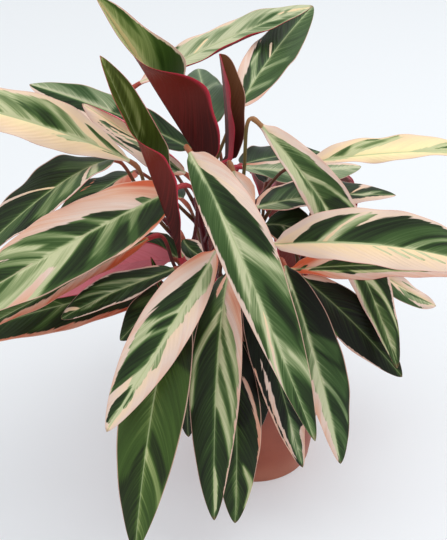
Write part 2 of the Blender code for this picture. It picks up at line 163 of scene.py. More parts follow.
def dress(tree, shader, tint, roughness, specular=0.5, bump=()):
    """Gives a finish its colour, roughness and shine, and bumps as their strength, depth and pattern."""
    tree.links.new(tint, shader.inputs["Base Color"])
    shader.inputs["Roughness"].default_value = roughness
    shader.inputs["Specular IOR Level"].default_value = specular
    if bump:
        bumps = put(tree, "Bump", dict(zip(("Strength", "Distance", "Height"), bump)))[0]
        tree.links.new(bumps, shader.inputs["Normal"])


def rounded(profile, radius, steps=5):
    """The profile with each corner cut back by the radius and rounded with a short curve."""
    out = [profile[0]]
    for before, corner, after in zip(profile, profile[1:], profile[2:]):
        corner = Vector(corner)
        towards, onwards = Vector(before) - corner, Vector(after) - corner
        reach = min(radius, towards.length * 0.45, onwards.length * 0.45)
        start = corner + towards.normalized() * reach
        end = corner + onwards.normalized() * reach
        for k in range(steps + 1):
            share = k / steps
            out.append(tuple(start * (1 - share) ** 2 + corner * 2 * share * (1 - share) + end * share**2))
    return out + [profile[-1]]


def new_curve(name, lines):
    """A curve through lists of points. Each point is a place and the radius there, in metres."""
    curve = bpy.data.curves.new(name, "CURVE")
    curve.dimensions = "3D"
    for points in lines:
        spline = curve.splines.new("POLY")
        spline.points.add(len(points) - 1)
        for point, (place, radius) in zip(spline.points, points):
            point.co = (*place, 1)
            point.radius = radius
    return curve


def new_tree(name, inputs):
    """A tree that takes a curve or mesh and the named inputs, with the node that they come in by."""
    tree = bpy.data.node_groups.new(name, "GeometryNodeTree")
    for socket, kind in {"Geometry": "Geometry", **inputs}.items():
        tree.interface.new_socket(socket, in_out="INPUT", socket_type="NodeSocket" + kind)
    tree.interface.new_socket("Geometry", in_out="OUTPUT", socket_type="NodeSocketGeometry")
    return tree, place_node(tree, "NodeGroupInput")


def build(tree, kind, inputs=()):
    return place_node(tree, "GeometryNode" + kind, inputs)[0]


def end_tree(tree, shape, finish):
    """The end of a tree: its copies are made real and given their finish."""
    shape = build(tree, "RealizeInstances", {0: shape})
    shape = build(tree, "SetMaterial", {"Geometry": shape, "Material": finish})
    place_node(tree, "NodeGroupOutput", {0: shape})


def as_mesh(name, data, tree, values):
    """A plain mesh object: what a tree makes of this curve or mesh, with the tree's inputs set."""
    source = bpy.data.objects.new(name, data)
    bpy.context.scene.collection.objects.link(source)
    modifier = source.modifiers.new(name, "NODES")
    modifier.node_group = tree
    for item in tree.interface.items_tree:
        if item.in_out == "INPUT" and item.name in values:
            modifier[item.identifier] = values[item.name]
    evaluated = source.evaluated_get(bpy.context.evaluated_depsgraph_get())
    made = bpy.data.meshes.new_from_object(evaluated)
    bpy.data.objects.remove(source)
    made.shade_smooth()
    out = bpy.data.objects.new(name, made)
    bpy.context.scene.collection.objects.link(out)
    return out


pot_finish, tree, shader = new_material("terracotta_plastic")
place = put(tree, "TexCoord")["Object"]
cloudy = noise(tree, place, 28, 3)
specks = noise(tree, place, 900, 2, 0.7)
tint = mix(tree, step(tree, cloudy, 0.35, 0.65), paint(136, 60, 36), paint(150, 69, 43))
tint = mix(tree, step(tree, specks, 0.66, 0.74), tint, paint(104, 48, 35))
# Paler towards the foot of the pot, in cloudy patches
height = put(tree, "SeparateXYZ", {0: place})[2]
paler_foot = times(tree, step(tree, height, 0.03, 0.0), cloudy)
tint = mix(tree, paler_foot, tint, paint(178, 112, 86))
dress(tree, shader, tint, 0.52, bump=(0.12, 0.0006, specks))

# The tree: the profile curve is carried round a circle of the rim's radius, so x is counted from the rim
lathe, given = new_tree("pot_lathe", {"Sides": "Int", "Turning Radius": "Float"})
circle = build(lathe, "CurvePrimitiveCircle", {"Resolution": given[1], "Radius": given[2]})
turned = build(lathe, "CurveToMesh", {"Curve": circle, "Profile Curve": given[0]})
turned = build(lathe, "MergeByDistance", {"Geometry": turned, "Distance": SEAM_GAP})
end_tree(lathe, turned, pot_finish)

neck = POT_HEIGHT - RIM_HEIGHT
wall_lean = (POT_NECK - POT_FOOT) / neck
pot_profile = [
    (0, 0),
    (POT_FOOT, 0),
    (POT_NECK, neck),
    (POT_RIM - RIM_TUCK, neck + RIM_STEP),
    (POT_RIM + RIM_FLARE, POT_HEIGHT),
    (POT_RIM - POT_WALL, POT_HEIGHT),
    (POT_RIM - POT_WALL - INNER_TUCK, neck + INNER_STEP),
    (POT_NECK - POT_WALL, neck + INNER_NECK),
    (POT_FOOT - POT_WALL + wall_lean * POT_FLOOR, POT_FLOOR),
    (0, POT_FLOOR),
]
profile = [((x - POT_RIM, -z, 0), 1) for x, z in rounded(pot_profile, CORNER_RADIUS)]
pot = new_curve("pot_profile", [profile])
pot = as_mesh("pot_skin", pot, lathe, {"Sides": POT_SIDES, "Turning Radius": POT_RIM})
for k in range(DRAIN_HOLES):
    angle = 2 * math.pi * (k + DRAIN_TURN) / DRAIN_HOLES
    bpy.ops.mesh.primitive_cylinder_add(
        vertices=DRAIN_SIDES, radius=DRAIN_RADIUS, depth=DRILL_LENGTH,
        location=(DRAIN_CIRCLE * math.cos(angle), DRAIN_CIRCLE * math.sin(angle), 0),
    )
    drill = bpy.context.object
    cut = pot.modifiers.new("drain", "BOOLEAN")
    cut.operation = "DIFFERENCE"
    cut.object = drill
    drilled = bpy.data.meshes.new_from_object(pot.evaluated_get(bpy.context.evaluated_depsgraph_get()))
    pot.modifiers.clear()
    pot.data = drilled
    bpy.data.objects.remove(drill)
pot.data.shade_smooth()
pot.data.set_sharp_from_angle(angle=math.radians(35))
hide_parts("pot")
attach(pot, "root")


# The soil: dark peat potting mix that fills the pot to below its rim. The solid keeps its bumps and holes,
# and gets a rough finish, with crumbs of bark and white perlite scattered over it.
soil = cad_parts["soil"]
soil_finish, tree, shader = new_material("peat_mix")
place = put(tree, "TexCoord")["Object"]
grains = noise(tree, place, 420, 6, 0.7)
damp = noise(tree, place, 60, 3)
tint = mix(tree, step(tree, grains, 0.4, 0.65), paint(36, 26, 20), paint(84, 62, 46))
tint = mix(tree, step(tree, damp, 0.5, 0.7), tint, paint(30, 21, 16))
dress(tree, shader, tint, 0.95, bump=(1.0, 0.0015, grains))
soil.data.materials.clear()
soil.data.materials.append(soil_finish)

bark_finish, tree, shader = new_material("bark_crumbs")
place = put(tree, "TexCoord")["Object"]
tint = mix(tree, noise(tree, place, 700, 3), paint(48, 32, 22), paint(120, 86, 58))
dress(tree, shader, tint, 0.9)

perlite_finish, tree, shader = new_material("perlite")
place = put(tree, "TexCoord")["Object"]
tint = mix(tree, noise(tree, place, 1500, 2), paint(196, 190, 178), paint(236, 232, 224))
dress(tree, shader, tint, 0.8)

FULL_TURN = 6.28


def crumb_tree(name, finish, flatness, seed):
    """Crumbs on the upper faces of a mesh: points scattered at random, an uneven lump set on each."""
    tree, given = new_tree(name, {"Density": "Float", "Smallest": "Float", "Largest": "Float"})
    up = put(tree, "SeparateXYZ", {0: build(tree, "InputNormal")})[2]
    spread = {"Mesh": given[0], "Selection": maths(tree, "GREATER_THAN", up, 0.7), "Density": given[1]}
    points = build(tree, "DistributePointsOnFaces", {**spread, "Seed": seed})
    lump = build(tree, "MeshIcoSphere", {"Radius": 1.0, "Subdivisions": 2})
    rough = put(tree, "TexNoise", {"Scale": 1.3, "Detail": 1.0})[1]
    shift = put(tree, "VectorMath", {0: rough, 1: (0.5, 0.5, 0.5)}, operation="SUBTRACT")[0]
    lump = build(tree, "SetPosition", {"Geometry": lump, "Offset": shift})
    limits = {0: (0, 0, 0), 1: (FULL_TURN, FULL_TURN, FULL_TURN), "Seed": seed + 1}
    turn = place_node(tree, "FunctionNodeRandomValue", limits, data_type="FLOAT_VECTOR")[0]
    size = place_node(tree, "FunctionNodeRandomValue", {2: given[2], 3: given[3], "Seed": seed + 2})[1]
    scale = put(tree, "VectorMath", {0: (1.0, 0.8, flatness), 3: size}, operation="SCALE")[0]
    placed = {"Points": points, "Instance": lump, "Rotation": turn, "Scale": scale}
    end_tree(tree, build(tree, "InstanceOnPoints", placed), finish)
    return tree


# The finish, the smallest and largest radius, how many lie on a square metre, how flat they are, the seed
CRUMBS = {
    "soil_crumbs": (bark_finish, 0.7 * MM, 2.0 * MM, 42000, 0.7, 11),
    "soil_bark": (bark_finish, 1.8 * MM, 4.2 * MM, 5000, 0.35, 21),
    "soil_perlite": (perlite_finish, 0.7 * MM, 1.5 * MM, 5500, 0.9, 31),
}
for name, (finish, smallest, largest, density, flatness, seed) in CRUMBS.items():
    values = {"Density": density, "Smallest": smallest, "Largest": largest}
    crumbs = as_mesh(name, soil.data.copy(), crumb_tree(name, finish, flatness, seed), values)
    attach(crumbs, "root")


# The leaves that hang in front of the pot. Each leaf is one long blade on a thin stalk, with a swollen joint
# between them, and grows from a short stub on its shoot. The upper side is dark green, splashed sage, cream
# and pink in patches that follow the side veins, and the underside is wine red.
SOIL_TOP = 108
STUB_LENGTH = 11
# Where each shoot stands on the soil, the point that it leans towards, and its top, in mm
SHOOTS = {
    "shoot_1": ((-14, -24), (-16, -30, 165), (-36, -42, 222)),
    "shoot_2": ((-34, -8), (-42, -10, 165), (-66, -22, 236)),
    "shoot_3": ((8, -22), (8, -24, 150), (4, -28, 196)),
    "shoot_4": ((-8, 4), (-10, 4, 170), (-22, 4, 248)),
    "shoot_5": ((28, -8), (32, -8, 140), (40, -6, 176)),
    "shoot_6": ((-32, 18), (-36, 18, 170), (-48, 24, 236)),
    "shoot_7": ((4, 30), (4, 32, 160), (2, 40, 226)),
    "shoot_8": ((-34, -34), (-42, -36, 135), (-58, -38, 172)),
    "shoot_9": ((32, 22), (36, 26, 140), (44, 36, 196)),
}
STALK_RADIUS = 1.4
JOINT_RADIUS, JOINT_LENGTH = 1.9, 13
HALF_THICKNESS = 0.26
RIB_WIDTH, RIB_DEPTH, GROOVE_DEPTH = 1.1, 1.0, 0.5
WAVE_LENGTH = 150
FRINGE_LENGTH, FRINGE_HEIGHT = 31, 0.8
PLEAT_LENGTH, PLEAT_HEIGHT = 6.5, 0.13
TIP_HALF_WIDTH = 0.25
RING_GAP = 1.2
FEWEST_RINGS, NECK_RINGS = 24, 9
# Where the columns of each half lie, from the midrib at 0 to the margin at 1
REACHES = np.array([0, 0.035, 0.08, 0.15, 0.24, 0.34, 0.45, 0.56, 0.67, 0.77, 0.86, 0.93, 0.975, 1.0])
# How pale each green is, and the green that counts under a cream ground. The darkest is the dark green with
# deep shade painted into it, for leaves that hang in the shade of others
GREENS = {"night": 0.0, "dark": 0.16, "mid": 0.42, "sage": 0.72, "pale": 0.95, "cream": 0.6}
# How much of a blade opens out of its round joint, and where its rows begin to follow the side veins
NECK = 0.06
ROWS_TURN = (0.04, 0.26)
# In mm: how deep inside a patch a point can lie, how deep the middle of a narrow patch counts at least, and
# how soft the edge between two greens is
DEEPEST, NARROW_DEPTH, SOFT_EDGE = 8.0, 2.4, 2.5


def shoot_point(name, share):
    """A point of a shoot's middle line in mm, from 0 at the soil to 1 at its top."""
    foot, towards, top = SHOOTS[name]
    start = Vector((foot[0], foot[1], SOIL_TOP))
    return start * (1 - share) ** 2 + Vector(towards) * 2 * share * (1 - share) + Vector(top) * share**2


def stub_of(shoot, joint, base):
    """Where a leaf stalk starts: the point on its shoot and the direction of the stub that carries it."""
    root = shoot_point(shoot, joint)
    along = (shoot_point(shoot, joint + 0.01) - root).normalized()
    if joint >= 1:
        return root, along
    outward = Vector(base) - root
    outward = (outward - along * outward.dot(along)).normalized()
    return root, (along * 0.8 + outward * 0.6).normalized()


def leaf(name, shoot, joint, base, middle, tip, width, face, sides=(1, 1), outline=(0.94, 0.66),
         tip_face=None, turn=(0, 1), fold=(14, 8), bend=(10, 14), wave=2.0, curl=(0, 0), stalk=STALK_RADIUS,
         slot="leaf_mixed", ground="dark", tone=0.3, blush=0.5, flush=0.5, marks=()):
    """A row of a leaf list, in mm and degrees.

    joint: how far up its shoot the stalk starts. base, middle, tip: points of the midrib.
    sides: how wide its left and right halves are, as shares of half the width.
    outline: the powers that make the blade widest near its base or blunt.
    face: the way the upper side looks, and tip_face at the tip. It turns between the two shares of turn.
    fold, bend, wave: the blade's section. curl: how far its left and right edges roll up.
    stalk: the stalk's radius. flush: how red it is.
    ground: the colour under the marks. tone: its green, from 0 blue over 1 olive to 2 bronze.
    blush: its cream, from 0 yellow to 1 coral.
    marks: patches, each a colour and its corners in percent of the length and of the half width. The
    second is negative to the leaf's own left.
    """
    return dict(
        name=name, shoot=shoot, joint=joint, base=Vector(base), middle=Vector(middle), tip=Vector(tip),
        width=width, sides=sides, outline=outline, face=Vector(face), tip_face=Vector(tip_face or face),
        turn=turn, fold=fold, bend=bend, wave=wave, curl=curl, stalk=stalk, slot=slot, ground=ground,
        tone=tone, blush=blush, flush=flush, marks=marks,
    )


def depth_inside(x, y, corners):
    """How far each point lies inside a patch with these corners, negative outside it."""
    nearest = np.full(x.shape, 1e9)
    inside = np.zeros(x.shape, bool)
    for (ax, ay), (bx, by) in zip(corners, corners[1:] + corners[:1]):
        ex, ey = bx - ax, by - ay
        along = np.clip(((x - ax) * ex + (y - ay) * ey) / max(ex * ex + ey * ey, 1e-9), 0, 1)
        nearest = np.minimum(nearest, np.hypot(x - ax - along * ex, y - ay - along * ey))
        if ay != by:
            inside ^= ((ay > y) != (by > y)) & (x < ax + (y - ay) / (by - ay) * ex)
    return np.where(inside, nearest, -nearest)


def lay_marks(row, length, share, reach):
    """Two fields over a blade: how far inside the cream each point lies, and how pale its green is."""
    half = row["width"] / 2 * np.where(reach < 0, *row["sides"])
    x, y = share * length, reach * half
    cream = np.full(x.shape, DEEPEST if row["ground"] == "cream" else -DEEPEST)
    green = np.full(x.shape, GREENS[row["ground"]])
    for colour, *corners in row["marks"]:
        halves = [row["width"] / 2 * row["sides"][v > 0] for u, v in corners]
        corners = [(u / 100 * length, v / 100 * half) for (u, v), half in zip(corners, halves)]
        inside = depth_inside(x, y, corners)
        inside = inside * max(1, NARROW_DEPTH / max(inside.max(), 0.3))
        if colour == "cream":
            cream = np.maximum(cream, inside)
        else:
            cream = np.minimum(cream, -inside)
            weight = np.clip(inside / SOFT_EDGE + 0.8, 0, 1)
            green = green * (1 - weight) + GREENS[colour] * weight
    return np.clip(cream, -DEEPEST, DEEPEST), green


def unit(vectors):
    return vectors / np.linalg.norm(vectors, axis=-1, keepdims=True)


def dot(first, second):
    return np.sum(first * second, axis=-1, keepdims=True)


def eased(share):
    """From 0 to 1 with a soft start and end."""
    share = np.clip(share, 0, 1)
    return share * share * (3 - 2 * share)


def slant(reach):
    """How far a side vein runs on towards the tip as it runs out by 1, more so near the margin."""
    return 1.6 + 0.8 * reach**2


def blade_section(row, number, length, share):
    """Both halves of a blade, row by row, folded at the midrib, bent, waved and pleated.

    Gives how far to the side and how high each point lies, the slope there, the side vein that it lies on,
    how far it lies from the midrib, its reach, and half the blade's width in each row.
    """
    s, r = share[:, None], 1 - share[:, None]
    reach = REACHES[None, :]
    fold = np.radians(row["fold"][0] * r + row["fold"][1] * s)
    bend = np.radians(row["bend"][0] * r + row["bend"][1] * s)
    lean, power = row["outline"]
    outline = np.sin(np.pi * np.minimum(share, 0.9995) ** lean) ** power
    half = np.maximum(row["width"] / 2 * outline, TIP_HALF_WIDTH)[:, None]
    widths = np.diff(REACHES)[None, :]
    start = np.zeros((len(share), 1))
    waves = 1.2 + length / WAVE_LENGTH
    phase = 1.7 * number
    swell = row["wave"] * np.sin(np.pi * s) ** 0.7
    turns = {-1: waves * s * 2 * np.pi + phase, 1: waves * 0.93 * s * 2 * np.pi + phase * 2.3 + 1}
    halves = {}
    for side, breadth, curl in zip((-1, 1), row["sides"], row["curl"]):
        run = half * breadth * reach
        vein = s * length - run * slant(reach)
        slope = fold - bend * 1.4 * reach + np.radians(curl) * reach**3 * np.sin(np.pi * s) ** 0.5
        mid_slope = (slope[:, 1:] + slope[:, :-1]) / 2
        x = np.concatenate([start, np.cumsum(np.cos(mid_slope) * widths, axis=1)], axis=1) * half * breadth
        z = np.concatenate([start, np.cumsum(np.sin(mid_slope) * widths, axis=1)], axis=1) * half * breadth
        fringe = np.sin(length * s * (2 * np.pi / FRINGE_LENGTH) + phase * 3.1 + side)
        fringe = FRINGE_HEIGHT * np.sin(np.pi * s) ** 0.5 * fringe
        lift = swell * np.sin(turns[side]) * reach**2 + fringe * reach**4
        pleats = PLEAT_HEIGHT * np.sin(vein * (2 * np.pi / PLEAT_LENGTH) + phase)
        pleats = pleats * (4 * reach * (1 - reach)) ** 0.7 * np.sin(np.pi * s) ** 0.4
        halves[side] = (x * side, z + lift + pleats, slope * side, vein, run * side)
    x, z, slope, vein, run = [
        np.concatenate([left[:, :0:-1], right], axis=1) for left, right in zip(halves[-1], halves[1])
    ]
    signed = np.concatenate([-REACHES[:0:-1], REACHES])[None, :] * np.ones_like(x)
    return x, z, slope, vein, run, signed, half


def stalk_of(row, base, along, facing, joint_radius):
    """The stalk, from its stub on the shoot to the blade: its line, the way it runs and looks, its radius.

    along and facing: the way the blade runs and looks where the stalk meets it. Last comes the share of
    the stalk that lies below each point.
    """
    root, direction = stub_of(row["shoot"], row["joint"], row["base"])
    start = np.array(root + direction * (0.0 if row["joint"] >= 1 else STUB_LENGTH))
    direction = np.array(direction)
    distance = np.linalg.norm(base - start)
    first = start + direction * distance * 0.5
    second = base - along * min(distance * 0.4, 30)
    p = np.linspace(0, 1, max(10, round(distance / 4)), endpoint=False)[:, None]
    q = 1 - p
    line = start * q**3 + first * 3 * p * q**2 + second * 3 * p**2 * q + base * p**3
    ahead = unit((first - start) * q**2 + (second - first) * 2 * p * q + (base - second) * p**2)
    away = distance * q[:, 0]
    swollen = np.clip(1 - away / JOINT_LENGTH, 0, 1)
    radius = row["stalk"] + (joint_radius - row["stalk"]) * swollen**0.5 + 0.35 * np.sin(np.pi * swollen)
    radius = radius + 0.35 * np.exp(-p[:, 0] * distance / 5)
    stalk_facing = np.zeros_like(ahead)
    look = facing
    for k in range(len(ahead) - 1, -1, -1):
        look = look - ahead[k] * np.dot(look, ahead[k])
        look = look / np.linalg.norm(look)
        stalk_facing[k] = look
    return line, ahead, stalk_facing, radius, p


def make_leaf(row, number, finishes):
    """One closed mesh, stalk and blade, lofted through rings of points. Its attributes carry the marks."""
    base, tip = np.array(row["base"]), np.array(row["tip"])
    middle = np.array(row["middle"])
    bow = middle * 2 - (base + tip) / 2
    length = np.linalg.norm(middle - base) + np.linalg.norm(tip - middle)

    # The midrib, and at each of its points the way it runs and the way the blade looks
    rings = max(FEWEST_RINGS, round(length / RING_GAP))
    share = np.concatenate([np.linspace(0, NECK, NECK_RINGS)[:-1], np.linspace(NECK, 1, rings)])
    s, r = share[:, None], 1 - share[:, None]
    rib = base * r**2 + bow * 2 * s * r + tip * s**2
    along = unit((bow - base) * r + (tip - bow) * s)
    turned = eased((s - row["turn"][0]) / (row["turn"][1] - row["turn"][0]))
    facing = np.array(row["face"].normalized()) * (1 - turned)
    facing = facing + np.array(row["tip_face"].normalized()) * turned
    facing = unit(facing - along * dot(facing, along))

    # Upper and lower skins, with the midrib sunk above and proud below
    x, z, slope, vein, run, signed, half = blade_section(row, number, length, share)
    thin = HALF_THICKNESS * (1 - 0.55 * np.abs(signed) ** 3)
    at_rib = np.exp(-((run / RIB_WIDTH) ** 2))
    groove = GROOVE_DEPTH * at_rib * r**0.5
    keel = (0.2 + RIB_DEPTH * r**1.3 * np.minimum(1, s / NECK + 0.3)) * at_rib
    upper = np.stack([x - thin * np.sin(slope), z + thin * np.cos(slope) - groove], axis=-1)
    lower = np.stack([x + thin * np.sin(slope), z - thin * np.cos(slope) - keel], axis=-1)
    ring = np.concatenate([upper, lower[:, ::-1]], axis=1)
    count = x.shape[1]
    angles = np.pi * (1 - (np.arange(count) + 0.5) / count)
    angles = np.concatenate([angles, -angles[::-1]])
    circle = np.stack([np.cos(angles), np.sin(angles)], axis=-1)
    opened = eased(share / NECK)[:, None, None]
    joint_radius = max(JOINT_RADIUS, row["stalk"])
    ring = circle * joint_radius * (1 - opened) + ring * opened

    # Slid towards the tip, more so near the margins, the rows of the mesh follow the side veins
    lead = half * np.where(signed < 0, *row["sides"]) * np.abs(signed) * slant(signed) / length
    lead = lead * eased((s - ROWS_TURN[0]) / (ROWS_TURN[1] - ROWS_TURN[0]))
    room_left = 0.8 * r + 1e-6
    slid = s + lead * room_left / (lead**4 + room_left**4) ** 0.25

    def slide(values):
        columns = [np.interp(slid[:, k % count], share, values[:, k]) for k in range(values.shape[1])]
        return np.stack(columns, axis=1)

    # The rings in space, and the faces between them
    line, ahead, stalk_facing, radius, p = stalk_of(row, base, along[0], facing[0], joint_radius)
    rib = np.concatenate([line, rib])
    along = np.concatenate([ahead, along])
    facing = np.concatenate([stalk_facing, facing])
    ring = np.concatenate([circle[None] * radius[:, None, None], ring])
    side = np.cross(along, facing)
    points = rib[:, None] + side[:, None] * ring[..., :1] + facing[:, None] * ring[..., 1:]
    stalk_rings = len(line)
    skins = points[stalk_rings:]
    points[stalk_rings:, :count] = np.stack([slide(skins[:, :count, k]) for k in range(3)], axis=-1)
    mirrored = skins[:, :count - 1:-1]
    mirrored = np.stack([slide(mirrored[..., k]) for k in range(3)], axis=-1)
    points[stalk_rings:, :count - 1:-1] = mirrored
    points = points.reshape(-1, 3) * MM
    rings, around = ring.shape[:2]
    i = np.arange(rings - 1)[:, None] * around
    j = np.arange(around)[None, :]
    other = (j + 1) % around
    quads = np.stack([i + j, i + other, i + around + other, i + around + j], axis=-1).reshape(-1, 4)
    faces = [tuple(quad) for quad in quads.tolist()]
    faces.append(tuple(range(around - 1, -1, -1)))
    faces.append(tuple(range((rings - 1) * around, rings * around)))
    mesh = bpy.data.meshes.new(row["name"] + "_leaf")
    mesh.from_pydata(points.tolist(), [], faces)

    # What each face is made of: 0 the upper side, 1 the underside, 2 the stalk
    made_of = np.where(np.arange(around) < count - 1, 0, 1)[None, :] * np.ones((rings - 1, 1), int)
    made_of[: stalk_rings + 2] = 2
    made_of = np.concatenate([made_of.ravel(), [2, 1]])
    mesh.polygons.foreach_set("material_index", made_of.astype(np.int32))
    for finish in finishes:
        mesh.materials.append(finish)

    # The marks, carried to both skins. The thread tells which vein a point lies on and how far from the
    # midrib, with a number that no other leaf has, and the streaks of the finishes follow it
    ones = np.ones_like(x)
    cream, green = lay_marks(row, length, slid, signed)

    def both_skins(values, stalk_value=0.0):
        values = np.concatenate([values, values[:, ::-1]], axis=1)
        stalk = np.full((stalk_rings, around), 1.0) * stalk_value
        return np.concatenate([stalk, values]).ravel()

    fields = {
        "cream": both_skins(cream),
        "green": both_skins(green),
        "blush": both_skins(row["blush"] * ones),
        "reach": both_skins(np.abs(signed)),
        "share": both_skins(slid, p - 1),
        "tone": both_skins(row["tone"] * ones),
        "flush": both_skins(row["flush"] * ones, row["flush"]),
    }
    for name, values in fields.items():
        layer = mesh.attributes.new(name, "FLOAT", "POINT")
        layer.data.foreach_set("value", values.astype(np.float32))
    thread = [both_skins(slide(vein)), both_skins(slide(run)), both_skins(ones * number, number)]
    layer = mesh.attributes.new("thread", "FLOAT_VECTOR", "POINT")
    layer.data.foreach_set("vector", np.stack(thread, axis=-1).astype(np.float32).ravel())
    mesh.update()
    mesh.shade_smooth()
    made = bpy.data.objects.new(row["name"] + "_leaf", mesh)
    bpy.context.scene.collection.objects.link(made)
    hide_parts(row["name"])
    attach(made, "root")


def field(tree, name):
    return put(tree, "Attribute", attribute_name=name)["Fac"]


def streaks(tree, thread, along):
    """Noise that is drawn out along the side veins, so that it reads as streaks."""
    stretched = put(tree, "VectorMath", {0: thread, 1: (along, 0.04, 7.3)}, operation="MULTIPLY")[0]
    return maths(tree, "SUBTRACT", noise(tree, stretched, 1), 0.5)


def add_all(tree, *terms):
    """The sum of some values, each given as it is or as a pair of a value and its weight."""
    total = 0.0
    for term in terms:
        value = times(tree, term[0], term[1]) if isinstance(term, tuple) else term
        total = maths(tree, "ADD", total, value)
    return total


def colour_scale(tree, value, stops):
    """Colours along a scale of values."""
    made = tree.nodes.new("ShaderNodeValToRGB")
    tree.links.new(value, made.inputs[0])
    scale = made.color_ramp.elements
    while len(scale) < len(stops):
        scale.new(0.5)
    for stop, (position, colour) in zip(scale, stops):
        stop.position = position
        stop.color = paint(*colour)
    return made.outputs[0]


upper_finish, tree, shader = new_material("leaf_upper_side")
thread = put(tree, "Attribute", attribute_name="thread")["Vector"]
broad = streaks(tree, thread, 0.14)
narrow = streaks(tree, thread, 0.5)
hairline = streaks(tree, thread, 2.2)
off_rib = maths(tree, "ABSOLUTE", put(tree, "SeparateXYZ", {0: thread})[1])
# The green: paler near the midrib, and streaked and feathered along the side veins
glow = times(tree, step(tree, off_rib, 11.0, 0.0), 0.08)
near_rib = times(tree, step(tree, off_rib, 2.8, 0.0), 0.24)
feather = times(tree, step(tree, off_rib, 13.0, 1.0), maths(tree, "MAXIMUM", narrow, 0.0))
green = add_all(tree, field(tree, "green"), glow, near_rib, (feather, 0.7), (broad, 0.3), (narrow, 0.24),
                (hairline, 0.1))
# The lowest stop of both scales is the dark green with deep shade painted into it
greens = [
    (0.0, (11, 18, 7)), (0.14, (25, 39, 19)), (0.3, (43, 66, 34)), (0.46, (62, 90, 50)),
    (0.64, (95, 117, 79)), (0.82, (142, 157, 120)), (1.0, (199, 203, 168)),
]
olives = [
    (0.0, (15, 18, 5)), (0.14, (30, 40, 11)), (0.3, (47, 65, 18)), (0.46, (62, 86, 27)),
    (0.64, (94, 116, 50)), (0.82, (148, 161, 95)), (1.0, (196, 198, 140)),
]
tint = mix(tree, field(tree, "tone"), colour_scale(tree, green, greens), colour_scale(tree, green, olives))
# Young leaves are bronze, and darker towards their base
bronze = maths(tree, "SUBTRACT", field(tree, "tone"), 1.0)
young = mix(tree, green, paint(84, 44, 26), paint(116, 72, 40))
young = mix(tree, step(tree, field(tree, "share"), 0.15, 0.75), paint(70, 18, 16), young)
tint = mix(tree, bronze, tint, young)
# The cream patches: yellow to coral, rosier at the margin and the base, and ragged along the side veins
creams = [
    (0.0, (247, 233, 176)), (0.3, (243, 213, 172)), (0.6, (227, 202, 187)), (0.8, (222, 172, 145)),
    (1.0, (206, 96, 58)),
]
outer = times(tree, maths(tree, "SUBTRACT", field(tree, "reach"), 0.5), 0.35)
near_base = step(tree, field(tree, "share"), 0.4, 0.0)
near_base = times(tree, near_base, field(tree, "flush"))
rosy = add_all(tree, field(tree, "blush"), outer, (near_base, 0.5), (broad, 0.35))
ragged = times(tree, add_all(tree, (broad, 5.0), (narrow, 1.4)), step(tree, off_rib, 0.0, 2.5))
creamy = step(tree, add_all(tree, field(tree, "cream"), ragged), -0.45, 0.45)
tint = mix(tree, creamy, tint, colour_scale(tree, rosy, creams))
# The pale midrib, the thin rosy margin and the brown tip
rib_width = maths(tree, "SUBTRACT", 1.2, times(tree, field(tree, "share"), 0.8))
on_rib = step(tree, maths(tree, "DIVIDE", off_rib, rib_width), 1.0, 0.3)
rib_shows = maths(tree, "MINIMUM", add_all(tree, 0.3, (field(tree, "green"), 1.2)), 0.7)
rib_shows = maths(tree, "SUBTRACT", rib_shows, maths(tree, "MAXIMUM", bronze, 0.0))
tint = mix(tree, times(tree, on_rib, rib_shows), tint, paint(176, 188, 138))
rim = step(tree, field(tree, "reach"), 0.955, 0.99)
tint = mix(tree, times(tree, rim, 0.8), tint, paint(226, 184, 164))
at_tip = times(tree, step(tree, field(tree, "share"), 0.98, 0.995), 0.4)
tint = mix(tree, at_tip, tint, paint(120, 60, 48))
dress(tree, shader, tint, 0.42, 0.2, (0.3, 0.0006, add_all(tree, (narrow, 0.7), (hairline, 0.3))))

under_finish, tree, shader = new_material("leaf_underside")
thread = put(tree, "Attribute", attribute_name="thread")["Vector"]
broad = streaks(tree, thread, 0.14)
narrow = streaks(tree, thread, 0.5)
# Wine red, and pink where the upper side is cream, with a brighter margin. The pink is the underside's own
# colour, made brighter with painted light that shines through the thin leaf
pale = step(tree, add_all(tree, field(tree, "cream"), (broad, 10.0)), -3.0, 3.0)
wine = mix(tree, step(tree, field(tree, "share"), 0.15, 0.6), paint(56, 8, 5), paint(114, 36, 26))
tint = mix(tree, pale, wine, paint(250, 144, 156))
veined = times(tree, step(tree, narrow, -0.1, 0.3), 0.5)
tint = mix(tree, veined, tint, mix(tree, pale, paint(112, 30, 26), paint(234, 116, 130)))
spread = maths(tree, "POWER", field(tree, "blush"), 4.0)
edge = maths(tree, "SUBTRACT", 0.88, times(tree, spread, 0.5))
rim = step(tree, maths(tree, "SUBTRACT", field(tree, "reach"), edge), 0.0, 0.12)
tint = mix(tree, rim, tint, paint(190, 46, 66))
dress(tree, shader, tint, 0.45, 0.18, (0.35, 0.0006, narrow))

stalk_finish, tree, shader = new_material("leaf_stalk")
place = put(tree, "TexCoord")["Object"]
blotches = noise(tree, place, 160, 3)
share = add_all(tree, field(tree, "share"), (blotches, 0.15))
# Olive stalks turn tan towards the blade, and flushed ones crimson
plain = mix(tree, step(tree, share, -0.35, -0.02), paint(104, 92, 44), paint(160, 116, 72))
red = mix(tree, step(tree, share, -0.5, 0.0), paint(96, 24, 32), paint(176, 40, 54))
tint = mix(tree, field(tree, "flush"), plain, red)
dim = times(tree, step(tree, blotches, 0.5, 0.7), 0.3)
tint = mix(tree, dim, tint, paint(70, 40, 26))
dress(tree, shader, tint, 0.4, 0.3)

grown = []


def grow(rows):
    """Makes the leaves of a list, numbered on from those before it."""
    for row in rows:
        make_leaf(row, len(grown), (upper_finish, under_finish, stalk_finish))
        grown.append(row)


